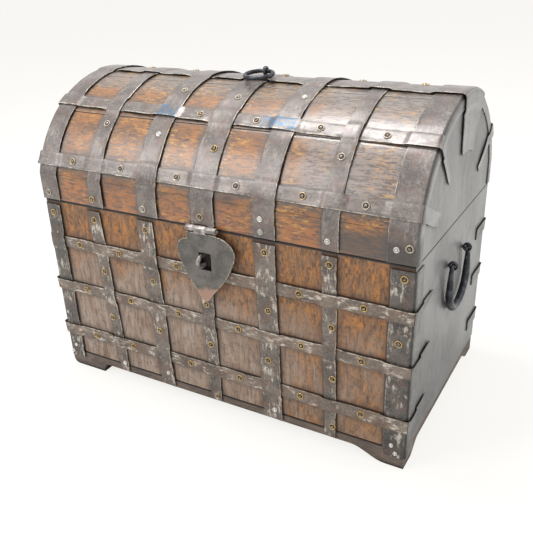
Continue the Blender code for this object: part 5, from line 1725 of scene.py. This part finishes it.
def bail_points():
    """A hanging bail: its ends turn in through the eyes on the Y axis."""
    eye = HANDLE_EYE_SPACING / 2
    out = eye + BAIL_END_OUT
    bend = BAIL_END_BEND
    near = bend * BAIL_BEND_SHARE
    half = [(eye - BAIL_TIP_IN, 0), (out - bend, 0), (out - near, -near), (out, -bend)]
    belly = BAIL_DROP * (1 - BAIL_BELLY_SHARE)
    for i in range(1, BAIL_SIDE_STEPS + 1):
        share = i / BAIL_SIDE_STEPS
        across = out + (BAIL_HALF_WIDTH - out) * math.sin(share * math.pi / 2)
        half.append((across, -bend - (belly - bend) * share))
    for i in range(1, BAIL_BELLY_STEPS):
        angle = math.pi / 2 * i / BAIL_BELLY_STEPS
        half.append((BAIL_HALF_WIDTH * math.cos(angle), -belly - (BAIL_DROP - belly) * math.sin(angle)))
    half.append((0, -BAIL_DROP))
    return half + [(-across, height) for across, height in reversed(half[:-1])]


def build_handle(side, name, material):
    """A bail that swells from its ends to its grip, and its two eyes."""
    axis = Vector((side * (end_face + eye_stand), HANDLE_SHIFT, box_top * HANDLE_HEIGHT_SHARE))
    points, radii = [], []
    for across, height in bail_points():
        share = min(1, -height / (BAIL_DROP * BAIL_BELLY_SHARE))
        radii.append(blend(BAIL_END_RADIUS, BAIL_RADIUS, share))
        points.append(axis + Vector((0, across, height)))
    points, radii = rounded_ends(*spline_through(points, radii))
    add_bar("worn_" + name, points, radii, BAIL_SIDES, material, name, name)
    turn = Matrix.Identity(3) if side > 0 else Matrix.Rotation(math.pi, 3, "Z")
    board = end_step + BOARD_THICK
    for side_y, word in ((-1, "front"), (1, "back")):
        place = axis + Vector((0, side_y * HANDLE_EYE_SPACING / 2, 0))
        build_eye(f"worn_{name}_{word}_eye", material, "box", place, turn, board, f"{name}_{word}_eye")


def build_ring(material):
    """A ring that lies to the front on the ridge, held up at the back by its eye."""
    eye = Vector((RING_EYE_X, 0, lid_crest + high_level + STRAP_THICK + eye_stand))
    mean = RING_OUTER_RADIUS - RING_WIRE_RADIUS
    tilt = math.asin((eye_stand - GAP - RING_WIRE_RADIUS) / (2 * mean))
    lean = Matrix.Rotation(tilt, 3, "X")
    shape = bmesh.new()
    rings = []
    for i in range(RING_STEPS):
        turn = math.tau * i / RING_STEPS
        ring = []
        for k in range(RING_SIDES):
            around = math.tau * k / RING_SIDES
            away = mean + RING_WIRE_RADIUS * math.cos(around)
            height = RING_WIRE_RADIUS * math.sin(around)
            flat = Vector((away * math.cos(turn), away * math.sin(turn) - mean, height))
            flat *= 1 + RING_WAVER * waver(RING_WAVER_LENGTH, *flat)
            ring.append(shape.verts.new(lean @ flat + eye))
        rings.append(ring)
    skin(shape, rings, closed=True)
    add_piece("worn_top_ring", shape, material, "top_ring", "top_ring")
    turn = Matrix.Rotation(math.pi / 2, 3, "Z") @ Matrix.Rotation(-math.pi / 2, 3, "Y")
    build_eye("worn_ring_eye", material, "lid", eye, turn, STAVE_THICK, "ring_eye")


# The whole

def make_looks():
    return {
        "box_wood": box_wood_look(),
        "lid_wood": lid_wood_look(),
        "plinth": plinth_look(),
        "column": strap_look("column_look", IRON_DARK, IRON_LIGHT, rust=0.40, worn=0.62, polish=0.50),
        "corner": strap_look("corner_look", CORNER_DARK, CORNER_LIGHT, rust=0.30, worn=0.58, polish=0.46),
        "hoop": strap_look("hoop_look", HOOP_DARK, HOOP_LIGHT, rust=0.45, worn=0.64, polish=0.50),
        "lid_iron": strap_look(
            "lid_strap_look", LID_IRON_DARK, LID_IRON_LIGHT, rust=0.35, worn=0.16, polish=0.40, wax=0.5
        ),
        "hinge": strap_look(
            "hinge_look", IRON_DARK, IRON_LIGHT, rust=0.35, worn=0.30, polish=0.46, slot="hinge_iron"
        ),
        "sheet": sheet_look(),
        "bar": bar_look("bar_look", "handle_iron", BAR_DARK, BAR_LIGHT),
        "hasp": hasp_look(),
        "bright": bar_look("bright_look", "hasp_iron", BRIGHT_DARK, BRIGHT_LIGHT),
        "nail": nail_look(),
    }


def build_chest():
    looks = make_looks()
    dress_boards(looks)
    build_lid_planks(looks["lid_wood"])
    box_nails = build_box_straps(looks["column"], looks["hoop"], looks["corner"])
    lid_nails = build_lid_straps(looks["lid_iron"])
    build_hasp_plate(looks["hasp"])
    build_hasp_knuckle(looks["bright"])
    leaf = build_hasp_leaf(looks["lid_iron"], looks["bright"])
    x, height = LEAF_NAIL
    lid_nails.add(leaf.top(height - lid_bottom, x), LEAF_NAIL_TONE)
    box_nails.build("box_nails", looks["nail"], "box")
    lid_nails.build("lid_nails", looks["nail"], "lid")
    build_staple(looks["bright"])
    for side, name in ((-1, "left_handle"), (1, "right_handle")):
        build_handle(side, name, looks["bar"])
    build_ring(looks["bar"])


bpy.context.scene.view_settings.view_transform = "Standard"
clear_start()
make_camera()
make_world()
make_lights()
make_floor()
build_chest()
